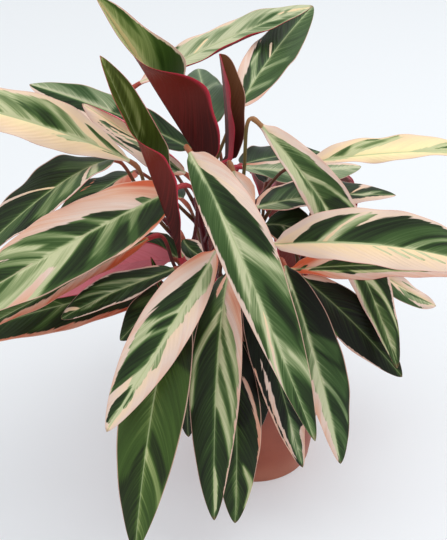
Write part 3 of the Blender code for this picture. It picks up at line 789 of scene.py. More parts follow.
grow([
    leaf("front_1", "shoot_1", 0.98, (-50, -60, 316), (-14, -110, 260), (40, -150, 129), width=45,
         sides=(1.1, 0.66), face=(0.1, -1, 0.7), ground="mid", tone=0.35, blush=0.45, flush=0.3, marks=[
        ("cream", (-10, -130), (-10, 5), (4, 4), (10, -4), (17, -24), (25, -48), (35, -66), (46, -86),
         (60, -96), (62, -130)),
        ("dark", (13, -4), (20, -26), (26, -46), (36, -62), (46, -80), (57, -90), (50, -45), (36, -6)),
        ("sage", (36, 0), (49, 0), (56, -42), (66, -85), (66, -130), (58, -130), (52, -60), (44, -28)),
        ("pale", (44, -10), (48, -14), (56, -60), (60, -95), (56, -85), (50, -40)),
        ("dark", (60, -30), (66, -30), (78, -80), (72, -90)),
        ("sage", (73, 0), (80, 0), (84, -50), (91, -130), (85, -130), (79, -55)),
        ("pale", (78, -30), (80, -36), (88, -110), (86, -110)),
        ("dark", (84, -12), (90, -20), (99, -90), (90, -100)),
        ("dark", (86, 5), (95, 5), (99, 60), (93, 80)),
        ("sage", (-10, 4), (14, 2), (20, 14), (10, 30), (4, 90), (-10, 90)),
        ("sage", (30, 4), (56, 0), (70, 45), (68, 80), (56, 50), (42, 20)),
        ("pale", (34, 5), (46, 3), (56, 20), (64, 50), (56, 42), (44, 14)),
        ("pale", (62, 2), (69, 3), (78, 36), (92, 130), (86, 130), (76, 62), (68, 28)),
        ("cream", (66, 4), (69, 6), (78, 44), (88, 110), (86, 110), (76, 50)),
        ("cream", (28, 92), (50, 86), (70, 78), (86, 100), (86, 130), (28, 130)),
    ]),
    leaf("front_2", "shoot_1", 0.8, (-31, -80, 248), (-65, -130, 210), (-107, -170, 154), width=46,
         sides=(0.66, 1), face=(0, -1, 0.8), ground="cream", tone=0.35, flush=0.6, marks=[
        ("pale", (8, 0), (98, 0), (90, -20), (70, -26), (56, -16), (44, -30), (30, -40), (24, -75),
         (12, -60)),
        ("sage", (10, -2), (17, -10), (24, -50), (20, -70), (12, -50)),
        ("sage", (32, -6), (35, -6), (44, -36), (42, -42)),
        ("sage", (50, -8), (58, -10), (70, -30), (66, -46), (56, -28)),
        ("sage", (74, -2), (80, -26), (88, -30), (90, -2)),
        ("dark", (77, -1), (82, -16), (88, -18), (88, -1)),
        ("pale", (10, 0), (98, 0), (98, 25), (84, 24), (88, 95), (80, 92), (70, 76), (53, 86), (40, 68),
         (25, 38), (10, 12)),
        ("dark", (9, 3), (30, 4), (37, 18), (44, 48), (51, 82), (44, 74), (30, 52), (18, 30)),
        ("mid", (34, 6), (38, 10), (47, 50), (46, 56)),
        ("dark", (40, 4), (46, 6), (53, 40), (52, 48), (46, 30)),
        ("dark", (49, 5), (60, 5), (68, 20), (77, 50), (83, 88), (77, 86), (68, 68), (57, 40)),
        ("mid", (64, 5), (68, 8), (80, 50), (86, 90), (83, 86), (77, 50)),
        ("cream", (73, 24), (80, 24), (89, 62), (93, 110), (88, 110), (81, 60)),
        ("dark", (79, 12), (88, 12), (97, 30), (97, 84), (90, 66)),
        ("sage", (88, 8), (92, 10), (98, 50), (96, 50)),
    ]),
    leaf("front_3", "shoot_8", 0.84, (-59, -66, 206), (-76, -142, 158), (-91, -180, 50), width=48,
         face=(0, -1, 0.5), slot="leaf_green", tone=0.8, blush=0.3, marks=[
        ("mid", (42, -5), (105, -5), (105, -130), (40, -130), (34, -50)),
        ("mid", (46, 5), (62, 5), (76, 60), (80, 130), (60, 130)),
        ("dark", (60, -10), (66, -12), (80, -80), (74, -90)),
        ("sage", (66, -2), (69, -2), (76, -45), (86, -95), (84, -110), (74, -50)),
    ]),
    leaf("front_4", "shoot_1", 0.66, (-22, -53, 214), (-31, -115, 158), (-33, -150, 52), width=40,
         sides=(0.9, 1), face=(0, -1, 0.5), tone=0.5, blush=0.55, flush=0.7, marks=[
        ("sage", (-10, 0), (63, 0), (72, -45), (86, -90), (86, -130), (-10, -130)),
        ("cream", (-10, 0), (16, 0), (22, -25), (30, -60), (44, -86), (70, -93), (90, -90), (97, -130),
         (-10, -130)),
        ("pale", (18, 0), (26, 0), (34, -30), (42, -60), (52, -88), (44, -80), (30, -34)),
        ("mid", (26, -2), (33, -2), (42, -36), (54, -76), (50, -72), (36, -30)),
        ("pale", (34, -4), (40, -2), (52, -40), (64, -80), (58, -76), (44, -32)),
        ("mid", (44, -6), (50, -6), (58, -42), (66, -70), (60, -62), (51, -32)),
        ("pale", (52, -4), (58, -4), (68, -46), (78, -86), (72, -80), (60, -36)),
        ("dark", (61, -2), (69, -34), (80, -84), (90, -86), (94, -44), (86, -28), (82, -2)),
        ("pale", (82, -2), (87, -28), (96, -40), (97, -10), (93, 0)),
        ("mid", (2, 2), (24, 2), (30, 30), (20, 50), (6, 60)),
        ("pale", (20, 14), (27, 20), (34, 50), (42, 76), (60, 88), (62, 97), (42, 90), (33, 68), (26, 40)),
        ("cream", (-10, 10), (6, 20), (16, 44), (12, 60), (2, 50), (-10, 40)),
    ]),
    leaf("front_5", "shoot_3", 0.6, (-20, -66, 168), (-16, -106, 107), (-17, -126, 26), width=38,
         face=(0.1, -1, 0.4), tone=0.6, blush=0.7, marks=[
        ("night", (-10, -130), (-10, 130), (50, 130), (50, -30), (30, -130)),
        ("cream", (22, -30), (30, -42), (40, -66), (55, -88), (72, -97), (72, -130), (55, -102), (40, -80),
         (28, -60)),
        ("pale", (70, -30), (74, -38), (82, -80), (92, -86), (90, -130), (78, -90)),
        ("mid", (70, 10), (78, 0), (90, -30), (96, -20), (86, 10), (80, 24)),
    ]),
    leaf("front_6", "shoot_8", 0.7, (-42, -48, 188), (-53, -72, 143), (-54, -80, 75), width=30,
         face=(-0.2, -1, 0.3), ground="night", tone=0.5, marks=[
        ("cream", (20, -85), (80, -88), (80, -130), (20, -130)),
    ]),
    leaf("front_7", "shoot_3", 0.86, (-8, -40, 202), (12, -84, 152), (37, -97, 58), width=34,
         face=(0.3, -1, 0.4), ground="night", tone=0.2, blush=0.6, marks=[
        ("mid", (76, 0), (84, -50), (98, -50), (97, 50), (85, 50)),
        ("cream", (84, -50), (90, -56), (105, -50), (105, -130), (80, -130)),
        ("cream", (46, 56), (58, 46), (72, 58), (96, 66), (94, 86), (74, 82), (60, 74)),
        ("cream", (50, 92), (96, 90), (96, 130), (50, 130)),
        ("sage", (80, 4), (84, 4), (94, 40), (88, 40)),
    ]),
    leaf("front_8", "shoot_3", 0.99, (20, -42, 214), (45, -90, 153), (65, -110, 73), width=42,
         sides=(1, 0.62), face=(0.2, -1, 0.5), tone=0.25, blush=0.6, marks=[
        ("night", (4, -6), (34, -6), (44, -130), (4, -130)),
        ("mid", (34, -4), (40, -4), (52, -80), (44, -90)),
        ("mid", (44, -4), (54, -4), (70, -80), (60, -95)),
        ("sage", (55, -2), (59, -2), (68, -40), (82, -90), (78, -90), (66, -46)),
        ("mid", (74, -4), (82, -4), (94, -80), (90, -95)),
        ("sage", (2, 0), (96, 0), (90, 130), (2, 130)),
        ("mid", (14, 10), (30, 6), (48, 50), (50, 130), (16, 130)),
        ("pale", (50, 20), (62, 12), (94, 20), (90, 40), (70, 50), (58, 50)),
        ("cream", (-10, 5), (3, 10), (6, 130), (-10, 130)),
        ("cream", (50, 62), (64, 50), (80, 44), (97, 30), (100, 130), (50, 130)),
    ]),
    leaf("front_9", "shoot_3", 0.4, (-12, -62, 156), (-3, -76, 126), (3, -84, 88), width=27,
         face=(0.1, -1, 0.2), ground="night", marks=[
        ("cream", (10, -85), (80, -88), (80, -130), (10, -130)),
    ]),
])

# The leaves that reach to the right. Their base patches are cream and peach, and the lower ones hang in
# the shade.
grow([
    leaf("right_1", "shoot_4", 0.9, (-1, -30, 325), (69, -7, 218), (112, -57, 126), width=38,
         sides=(1.2, 0.75), face=(0.3, -1, 0.7), tone=0.45, blush=0.48, flush=0.05, marks=[
        ("mid", (-10, -130), (-10, 130), (40, 130), (34, 0), (40, -130)),
        ("cream", (-10, -130), (-10, 0), (6, -6), (9, -30), (14, -54), (25, -72), (34, -84), (50, -94),
         (55, -130)),
        ("sage", (4, -10), (7, -6), (14, -44), (28, -72), (20, -72), (10, -44)),
        ("pale", (22, -2), (25, -2), (31, -40), (46, -86), (42, -86), (30, -46)),
        ("pale", (2, 2), (60, 4), (60, 130), (2, 130)),
        ("mid", (14, 2), (20, 2), (30, 30), (26, 34)),
        ("mid", (24, 2), (34, 2), (44, 50), (40, 60)),
        ("cream", (-10, 50), (3, 50), (12, 76), (30, 84), (60, 86), (60, 130), (-10, 130)),
        ("pale", (62, 0), (68, -2), (76, -42), (90, -95), (84, -85), (74, -50)),
        ("mid", (76, -2), (82, -2), (94, -60), (88, -70)),
        ("sage", (84, 0), (92, 0), (97, -40), (92, -50)),
        ("mid", (76, 4), (86, 4), (96, 50), (88, 50)),
        ("pale", (64, 60), (72, 66), (95, 80), (95, 110), (60, 110)),
        ("cream", (68, -90), (84, -90), (88, -130), (68, -130)),
        ("cream", (50, 72), (76, 84), (90, 90), (90, 130), (50, 130)),
    ]),
    leaf("right_2", "shoot_3", 0.46, (10, -51, 235), (86, -84, 254), (166, -104, 245), width=50,
         sides=(1.12, 0.74), face=(0, -0.7, 1), fold=(24, 10), ground="cream", tone=0.35, blush=0.4,
         flush=0.1, marks=[
        ("dark", (10, 0), (11.5, -20), (15, -44), (20, -66), (30, -80), (39, -82), (36, -72), (29, -46),
         (24, -20), (23, 0)),
        ("sage", (22, 0), (24, -20), (29, -48), (37, -82), (47, -86), (42, -60), (36, -30), (34, 0)),
        ("pale", (22, -1), (27, -1), (33, -40), (45, -88), (40, -84), (30, -46)),
        ("cream", (24, -2), (26, -2), (31.5, -40), (43, -90), (41, -90), (30.5, -46)),
        ("dark", (30, 0), (110, 0), (110, -86), (78, -94), (58, -88), (48, -74), (40, -50), (34, -24)),
        ("mid", (45, 0), (56, 0), (66, -45), (80, -86), (70, -82), (54, -35)),
        ("sage", (60, 0), (64, 0), (72, -35), (84, -76), (78, -66), (68, -32)),
        ("mid", (68, 0), (80, 0), (88, -40), (96, -70), (86, -60), (76, -30)),
        ("sage", (82, 0), (90, 0), (100, -40), (100, -70), (92, -40)),
        ("pale", (12, 0), (50, 0), (50, 5), (30, 9), (14, 10)),
        ("pale", (46, 10), (47.5, 10), (57, 44), (55.5, 46)),
        ("pale", (52, 10), (54.5, 8), (65, 50), (63, 54)),
        ("pale", (58, 10), (60, 10), (71, 48), (69, 52)),
        ("pale", (65, 6), (68, 6), (80, 50), (78, 54)),
        ("sage", (78, 4), (86, 4), (98, 50), (92, 56)),
    ]),
    leaf("right_3", "shoot_5", 0.86, (25, -32, 202), (93, -48, 216), (182, -55, 218), width=38,
         sides=(1, 0.84), face=(0, -0.3, 1), fold=(20, 10), ground="cream", tone=0.75, blush=0.6, flush=1.0,
         marks=[
        ("dark", (4.5, 50), (6, 0), (10, -30), (12, -26), (9, 10), (8, 50)),
        ("dark", (13, 44), (15, 0), (24, -34), (40, -60), (70, -80), (90, -60), (70, 30), (50, 40),
         (30, 36), (22, 50)),
        ("pale", (10, 40), (30, 44), (60, 40), (86, 40), (95, 60), (60, 60), (30, 60)),
        ("mid", (50, 40), (56, 40), (80, 50), (70, 56)),
        ("dark", (31, 50), (35, 46), (39, 64), (36, 68)),
    ]),
    leaf("right_4", "shoot_5", 0.66, (36, -12, 184), (76, -30, 154), (120, -40, 105), width=38,
         face=(0.3, -0.8, 0.7), ground="night", tone=0.6, marks=[
        ("cream", (-10, -130), (-10, 0), (6, -30), (24, -90), (30, -130)),
        ("sage", (20, 90), (50, 92), (50, 130), (20, 130)),
        ("cream", (50, 94), (85, 93), (90, 130), (50, 130)),
    ]),
    leaf("right_5", "shoot_5", 0.99, (73, 10, 196), (118, 0, 168), (150, 0, 148), width=24, sides=(0.62, 1),
         face=(0.2, -0.8, 0.8), ground="cream", tone=0.2, marks=[
        ("mid", (36, 10), (50, 34), (70, 70), (86, 86), (70, 130), (30, 130)),
        ("sage", (48, 10), (90, 0), (94, 20), (78, 56), (60, 50)),
        ("dark", (58, 10), (75, -4), (95, -12), (93, 4), (75, 12), (62, 20)),
        ("sage", (44, -50), (60, -50), (74, -70), (60, -70)),
    ]),
    leaf("right_6", "shoot_7", 0.99, (40, 18, 270), (104, 17, 279), (181, 28, 276), width=30,
         sides=(1.2, 0.5), face=(0, -0.45, 1), fold=(12, 8), ground="cream", tone=0.6, blush=0.12,
         flush=0.6, marks=[
        ("pale", (10, 0), (15, -23), (22, -50), (30, -72), (38, -86), (50, -92), (62, -88), (54, -62),
         (44, -36), (32, -16), (28, 0)),
        ("sage", (11, 0), (15, -20), (22, -50), (29, -70), (26, -36), (22, 0)),
        ("mid", (17, -20), (21, -40), (28, -64), (25, -36), (22, -16)),
        ("sage", (31, -44), (36, -40), (50, -72), (46, -80)),
        ("mid", (33, -80), (40, -88), (48, -93), (44, -84)),
        ("pale", (10, 2), (22, 2), (30, 30), (14, 50)),
        ("pale", (60, 0), (72, -26), (80, -66), (105, -60), (105, 60), (74, 50)),
        ("mid", (74, -10), (80, -30), (88, -60), (84, -30)),
        ("sage", (82, 0), (90, -30), (100, -30), (100, 10)),
    ]),
    leaf("right_7", "shoot_4", 0.6, (-2, -10, 245), (51, 20, 240), (119, 60, 220), width=38,
         sides=(1, 0.62), face=(0, -0.5, 1), fold=(12, 8), tone=0.15, blush=0.45, flush=0.6, marks=[
        ("sage", (-10, 0), (6, -10), (16, 0), (20, 30), (30, 130), (-10, 130)),
        ("mid", (10, -6), (18, -6), (34, -70), (24, -70)),
        ("mid", (24, -4), (34, -4), (46, -60), (40, -70)),
        ("sage", (28, 10), (34, 10), (44, 60), (38, 70)),
        ("cream", (-10, -130), (-10, 10), (3, 0), (8, -60), (20, -90), (50, -95), (50, -130)),
        ("cream", (5, 88), (60, 80), (74, 50), (90, 35), (105, 10), (105, 130), (5, 130)),
        ("cream", (70, -2), (74, -10), (84, -60), (93, -130), (87, -130), (78, -50)),
        ("sage", (72, 4), (78, 0), (92, -50), (90, -30), (80, 30)),
    ]),
    leaf("right_8", "shoot_4", 0.72, (-13, 46, 253), (39, 75, 236), (95, 110, 223), width=32,
         sides=(0.74, 1), face=(0, -0.4, 1), ground="sage", tone=0.0, blush=0.4, flush=1.0, marks=[
        ("mid", (10, 10), (24, 10), (40, 90), (20, 90)),
        ("mid", (36, 6), (50, 10), (64, 90), (50, 90)),
        ("cream", (-10, -50), (20, -60), (50, -70), (90, -60), (105, -20), (105, -130), (-10, -130)),
    ]),
    leaf("right_9", "shoot_7", 0.8, (-12, 60, 248), (19, 100, 237), (61, 140, 223), width=34,
         face=(0, -0.4, 1), tone=0.1, flush=1.0, marks=[
        ("mid", (25, 0), (36, 0), (50, 70), (40, 70)),
    ]),
])

# The leaves that reach to the left. The top one is mostly yellow and peach, and one turns its pink underside
# to the front.
grow([
    leaf("left_1", "shoot_2", 0.99, (-95, -24, 291), (-156, -58, 336), (-238, -86, 371), width=38,
         sides=(0.78, 1.16), outline=(0.97, 0.95), face=(0.2, -0.8, 0.8), ground="cream", tone=0.5,
         blush=0.3, flush=0.2, marks=[
        ("pale", (18, 0), (72, 0), (72, 90), (62, 90), (52, 84), (44, 80), (36, 60), (28, 30)),
        ("sage", (24, 3), (30, 3), (40, 50), (44, 76), (40, 70), (34, 40)),
        ("sage", (33, 3), (48, 3), (58, 50), (60, 80), (50, 72), (42, 40)),
        ("mid", (37, 6), (46, 6), (55, 45), (52, 62), (46, 50), (41, 28)),
        ("dark", (41, 12), (46, 12), (51, 42), (47, 46)),
        ("mid", (50, 30), (53, 26), (59, 50), (58, 60)),
        ("sage", (52, 3), (56, 3), (68, 70), (64, 74)),
        ("sage", (62, 3), (72, 3), (84, 70), (76, 80)),
        ("mid", (65, 10), (68, 10), (78, 60), (76, 60)),
        ("sage", (80, 0), (105, 0), (105, 70), (88, 50)),
        ("pale", (22, -2), (34, -2), (44, -30), (34, -30)),
        ("sage", (-10, 4), (10, 4), (30, 66), (26, 72), (12, 40), (-10, 30)),
        ("mid", (2, 30), (14, 30), (28, 64), (25, 70)),
        ("mid", (2, -10), (10, -10), (20, -26), (14, -30)),
    ]),
    leaf("left_2", "shoot_4", 0.8, (-55, 0, 269), (-90, -2, 298), (-131, -2, 328), width=30,
         sides=(1.05, 0.66), face=(0.2, -0.6, 1), curl=(0, 320), ground="cream", tone=0.1, blush=0.45,
         marks=[
        ("dark", (5, 10), (20, 20), (26, -30), (10, -50)),
        ("sage", (8, -50), (20, -50), (30, -90), (12, -90)),
        ("dark", (24, -10), (32, -12), (60, -56), (84, -70), (60, -68), (40, -50)),
        ("sage", (36, -4), (42, -4), (66, -36), (90, -50), (70, -50), (50, -32)),
        ("dark", (50, -2), (55, -2), (75, -24), (93, -30), (76, -34), (60, -20)),
        ("sage", (40, -80), (60, -82), (90, -90), (70, -95)),
    ]),
    leaf("left_3", "shoot_2", 0.9, (-110, -10, 286), (-149, -60, 286), (-212, -84, 236), width=50,
         face=(-0.3, -0.3, 1), fold=(24, 14), tone=0.45, blush=0.4, marks=[
        ("mid", (10, 0), (24, 0), (40, 50), (30, 60)),
        ("cream", (47, 0), (49, 0), (60, 42), (78, 105), (75, 105), (59, 46)),
        ("mid", (0, 0), (95, 0), (90, -130), (10, -130)),
        ("dark", (50, -10), (60, -10), (80, -90), (66, -100)),
        ("pale", (16, -4), (20, -4), (36, -90), (30, -90)),
        ("cream", (20, -4), (22.5, -6), (34, -50), (46, -120), (43, -120), (32, -55)),
        ("sage", (30, -6), (36, -6), (52, -70), (46, -80)),
        ("sage", (42, -4), (46, -4), (66, -70), (62, -90)),
        ("cream", (20, -94), (60, -94), (80, -92), (80, -130), (20, -130)),
    ]),
    leaf("left_4", "shoot_6", 0.8, (-98, 32, 255), (-122, -6, 257), (-163, -38, 234), width=33,
         face=(-0.3, -0.5, 1), blush=0.9, marks=[
        ("cream", (0, -10), (12, 0), (30, -10), (50, -40), (70, -130), (0, -130)),
        ("mid", (40, 10), (50, 10), (80, 90), (60, 95)),
        ("cream", (35, 95), (42, 70), (50, 55), (66, 60), (60, 68), (50, 66)),
    ]),
    leaf("left_5", "shoot_2", 0.74, (-59, -50, 283), (-128, -103, 269), (-225, -148, 228), width=54,
         face=(-0.2, -0.8, 0.9), ground="cream", tone=0.45, blush=0.6, flush=0.9, marks=[
        ("mid", (10, 0), (105, 0), (105, -130), (60, -130), (40, -93), (10, -93)),
        ("dark", (13, -20), (24, -20), (30, -86), (14, -90)),
        ("sage", (20, -4), (25, -4), (36, -60), (32, -60)),
        ("dark", (30, -30), (34, -30), (44, -85), (36, -88)),
        ("sage", (32, -4), (37, -4), (50, -70), (46, -74)),
        ("dark", (42, -10), (50, -10), (56, -40), (66, -85), (54, -85), (46, -40)),
        ("pale", (46, 0), (70, 0), (78, -40), (95, -130), (76, -130), (66, -74), (55, -36)),
        ("cream", (58, -36), (64, -40), (74, -70), (86, -130), (80, -130), (70, -76)),
        ("sage", (60, -4), (70, -4), (82, -50), (90, -90), (82, -76), (70, -32)),
        ("mid", (15, 2), (20, 2), (22, 30), (18, 26)),
        ("pale", (24, 2), (46, 2), (56, 50), (50, 50), (40, 34)),
        ("dark", (26, 3), (35, 3), (40, 22), (44, 44), (38, 40), (31, 20)),
        ("sage", (36, 3), (40, 3), (46, 42), (44, 46)),
        ("dark", (40, 3), (50, 3), (56, 40), (59, 66), (53, 58), (45, 34)),
        ("sage", (48, 0), (66, 0), (71, 50), (80, 100), (70, 90), (60, 70), (54, 40)),
        ("mid", (51, 6), (58, 6), (70, 70), (66, 74)),
        ("pale", (60, 30), (63, 30), (74, 84), (71, 86)),
        ("dark", (63, 3), (90, 3), (90, 70), (80, 86), (70, 40)),
        ("sage", (64, 4), (67, 4), (80, 70), (77, 74)),
        ("mid", (86, 0), (105, 0), (105, 130), (90, 90)),
        ("cream", (50, 90), (70, 96), (90, 94), (90, 130), (50, 130)),
    ]),
    leaf("left_6", "shoot_2", 0.6, (-82, -40, 235), (-140, -68, 214), (-229, -95, 175), width=38,
         sides=(0.42, 1), face=(-0.2, -0.6, 0.9), tone=0.6, blush=0.8, flush=0.9, marks=[
        ("cream", (-10, -130), (-10, 10), (30, 2), (50, -10), (60, -42), (80, -50), (85, -130)),
        ("mid", (66, 10), (80, 6), (95, 60), (80, 60)),
        ("cream", (-10, 10), (30, 30), (60, 88), (80, 90), (80, 130), (-10, 130)),
    ]),
    leaf("left_7", "shoot_2", 0.3, (-68, -12, 175), (-154, -36, 172), (-243, -56, 150), width=42,
         face=(-0.1, -0.7, 0.8), tone=0.5, blush=0.75, marks=[
        ("cream", (-10, -80), (50, -82), (80, -92), (80, -130), (-10, -130)),
        ("mid", (50, 10), (56, 10), (70, 80), (64, 80)),
        ("mid", (48, -6), (52, -6), (64, -75), (60, -75)),
    ]),
    leaf("left_8", "shoot_2", 0.48, (-66, -12, 200), (-111, -28, 203), (-161, -44, 184), width=38,
         face=(0, 1, 0.1), ground="cream", blush=0.3),
    leaf("left_9", "shoot_8", 0.99, (-62, -62, 221), (-106, -92, 219), (-142, -110, 208), width=32,
         sides=(0.62, 0.86), face=(0, -0.7, 1), blush=0.4, marks=[
        ("sage", (14, 0), (60, 0), (80, -30), (60, -50), (40, -40)),
        ("dark", (20, -6), (50, -6), (70, -40), (50, -56), (30, -40)),
        ("sage", (20, 5), (26, 5), (50, 45), (62, 75), (50, 62), (34, 40)),
        ("mid", (34, 5), (40, 5), (62, 50), (80, 85), (66, 70), (50, 45)),
        ("sage", (46, 5), (50, 5), (72, 50), (82, 80), (70, 62)),
        ("cream", (10, 86), (30, 90), (70, 94), (70, 130), (10, 130)),
        ("cream", (10, -86), (90, -90), (90, -130), (10, -130)),
        ("cream", (80, 0), (84, 0), (93, 50), (95, 95), (91, 90)),
    ]),
])

# The leaves that stand up: two furled young ones, a folded one, a thin spike that is still rolled, and the
# top leaves behind them, which are fully open.
grow([
    leaf("upright_1", "shoot_4", 0.5, (-38, -22, 283), (-74, -30, 350), (-113, -25, 415), width=61,
         outline=(0.8, 0.6), face=(1, 0.9, 0.5), tip_face=(0.7, -1, 0.4), turn=(0.26, 0.84), fold=(62, 54),
         bend=(-5, -4), wave=1.5, slot="leaf_young", ground="mid", tone=0.8, blush=0.3, flush=0.9, marks=[
        ("sage", (40, 2), (105, 2), (105, 70), (75, 60), (50, 30)),
        ("pale", (50, 2), (105, 2), (105, 30), (75, 26), (55, 12)),
        ("cream", (55, 6), (60, 3), (98, 5), (98, 18), (80, 18), (60, 10)),
        ("sage", (62, 40), (68, 36), (84, 90), (78, 96)),
        ("pale", (60, -2), (105, -2), (105, -130), (60, -130)),
        ("cream", (30, 94), (97, 93), (97, 130), (30, 130)),
    ]),
    leaf("upright_2", "shoot_1", 0.9, (-56, -80, 240), (-79, -92, 326), (-105, -92, 398), width=36,
         outline=(1.25, 0.8), face=(1, 0.2, 0.3), tip_face=(0.6, -0.9, 0.3), turn=(0.4, 0.7), fold=(60, 32),
         bend=(-45, -14), wave=0.5, stalk=2.6, slot="leaf_young", ground="mid", tone=1.2, blush=0.3,
         flush=1.0, marks=[
        ("sage", (60, 30), (66, 24), (90, 60), (80, 70)),
    ]),
    leaf("upright_3", "shoot_4", 1.0, (-24, 0, 279), (-25, 0, 324), (-29, 0, 366), width=31,
         outline=(0.94, 0.4), face=(0.79, -0.62, 0), fold=(60, 50), bend=(-12, -5), wave=0.5, stalk=4.0,
         slot="leaf_young", ground="sage", tone=2.0, blush=1.0, flush=1.0),
    leaf("upright_8", "shoot_8", 0.44, (-73, -57, 196), (-76, -59, 213), (-80, -60, 230), width=8,
         face=(0.3, -1, 0.2), fold=(25, 20), bend=(-50, -40), wave=0.2, slot="leaf_young", tone=1.0,
         flush=1.0),
    leaf("upright_4", "shoot_6", 0.99, (-15, 30, 310), (13, 85, 334), (50, 150, 354), width=36,
         face=(-0.2, -0.9, 0.6), ground="mid", tone=0.25, flush=0.2, marks=[
        ("dark", (10, -4), (56, -4), (105, -10), (105, -130), (50, -130), (30, -56), (16, -36)),
        ("mid", (50, 5), (66, 5), (86, 90), (66, 90)),
        ("cream", (-10, -130), (-10, 10), (6, 4), (13, -30), (22, -55), (32, -60), (40, -72), (50, -80),
         (58, -95), (58, -130)),
        ("cream", (-10, 0), (4, 10), (6, 50), (12, 80), (25, 100), (25, 130), (-10, 130)),
        ("pale", (33, -50), (37, -46), (50, -60), (42, -66)),
        ("cream", (47, -2), (49, -2), (60, -38), (58, -42)),
        ("sage", (14, 6), (18, 6), (32, 80), (26, 80)),
        ("mid", (22, 5), (28, 5), (42, 80), (34, 90)),
        ("sage", (34, 4), (38, 4), (54, 70), (50, 76)),
        ("sage", (20, -4), (28, -4), (44, -50), (36, -48)),
    ]),
    leaf("upright_5", "shoot_6", 0.9, (-96, 80, 311), (-24, 100, 342), (45, 97, 371), width=35,
         face=(-0.1, -0.5, 1), curl=(0, 105), ground="pale", tone=0.15, blush=0.3, flush=0.7, marks=[
        ("cream", (-10, -130), (-10, 130), (10, 130), (16, 0), (22, -80), (40, -90), (55, -80), (66, -130)),
        ("mid", (6, -30), (14, -30), (27, -90), (16, -110)),
        ("sage", (24, -4), (28, -4), (42, -60), (38, -64)),
        ("sage", (36, -2), (41, -2), (54, -60), (48, -66)),
        ("cream", (31, -6), (33, -6), (43, -50), (41, -56)),
        ("sage", (34, 6), (38, 6), (50, 70), (46, 70)),
        ("sage", (52, 0), (60, -20), (66, -42), (76, -58), (86, -50), (96, 20), (94, 70), (74, 70),
         (60, 40)),
        ("mid", (66, -4), (70, -4), (82, -40), (78, -46)),
        ("mid", (66, 4), (72, 4), (86, 50), (80, 60)),
        ("cream", (80, -30), (88, -16), (96, 30), (97, 90), (99, 0), (90, -40)),
    ]),
    leaf("upright_6", "shoot_6", 0.7, (-49, 20, 280), (-116, 50, 300), (-184, 80, 311), width=38,
         sides=(1, 0.8), face=(0, -0.7, 0.9), tone=0.05, marks=[
        ("mid", (20, 10), (30, 10), (44, 90), (30, 90)),
        ("sage", (45, 130), (50, 0), (105, 0), (105, 130)),
        ("mid", (60, 30), (70, 30), (84, 90), (70, 90)),
        ("cream", (50, -60), (70, -50), (100, -60), (100, -130), (50, -130)),
    ]),
    leaf("upright_7", "shoot_6", 0.5, (-34, 44, 290), (-42, 110, 292), (-49, 190, 283), width=38,
         face=(0, -0.3, 1), ground="mid", tone=0.0, marks=[
        ("sage", (50, 5), (56, 5), (70, 80), (62, 80)),
        ("sage", (40, -5), (46, -5), (60, -80), (54, -80)),
    ]),
])

# The small leaves in the middle of the plant. They start half way up their shoots and stand in the shade of
# the others, with few marks.
grow([
    leaf("inner_1", "shoot_1", 0.54, (-56, -51, 240), (-50, -56, 234), (-40, -61, 230), width=18,
         face=(0, -0.5, 1), marks=[
        ("cream", (-10, -70), (110, -70), (110, -130), (-10, -130)),
        ("cream", (-10, 75), (110, 75), (110, 130), (-10, 130)),
    ]),
    leaf("inner_2", "shoot_4", 0.66, (-19, -29, 286), (-13, -38, 271), (-7, -45, 256), width=23,
         face=(0.2, -0.8, 0.8), ground="cream", tone=0.8, blush=0.68, flush=0.1, marks=[
        ("sage", (5, 5), (80, 5), (70, 50), (30, 60)),
        ("mid", (16, 6), (40, 6), (56, 44), (34, 50)),
        ("dark", (50, 6), (66, 6), (72, 36), (62, 40)),
    ]),
    leaf("inner_3", "shoot_8", 0.56, (-72, -25, 184), (-86, -43, 172), (-107, -56, 152), width=28,
         face=(-0.2, -0.7, 0.8), marks=[
        ("mid", (20, 5), (40, 5), (60, 70), (40, 70)),
    ]),
    leaf("inner_4", "shoot_6", 0.3, (-63, 0, 194), (-78, -2, 206), (-95, -6, 214), width=26,
         face=(0, -0.6, 1), marks=[
        ("mid", (20, -5), (40, -5), (60, -70), (40, -70)),
    ]),
    leaf("inner_5", "shoot_7", 0.45, (8, 8, 220), (30, 3, 220), (58, 0, 206), width=36, face=(0, -0.6, 1),
         tone=0.1, marks=[
        ("cream", (-10, 90), (80, 90), (80, 130), (-10, 130)),
        ("sage", (30, 5), (34, 5), (50, 70), (46, 70)),
    ]),
])

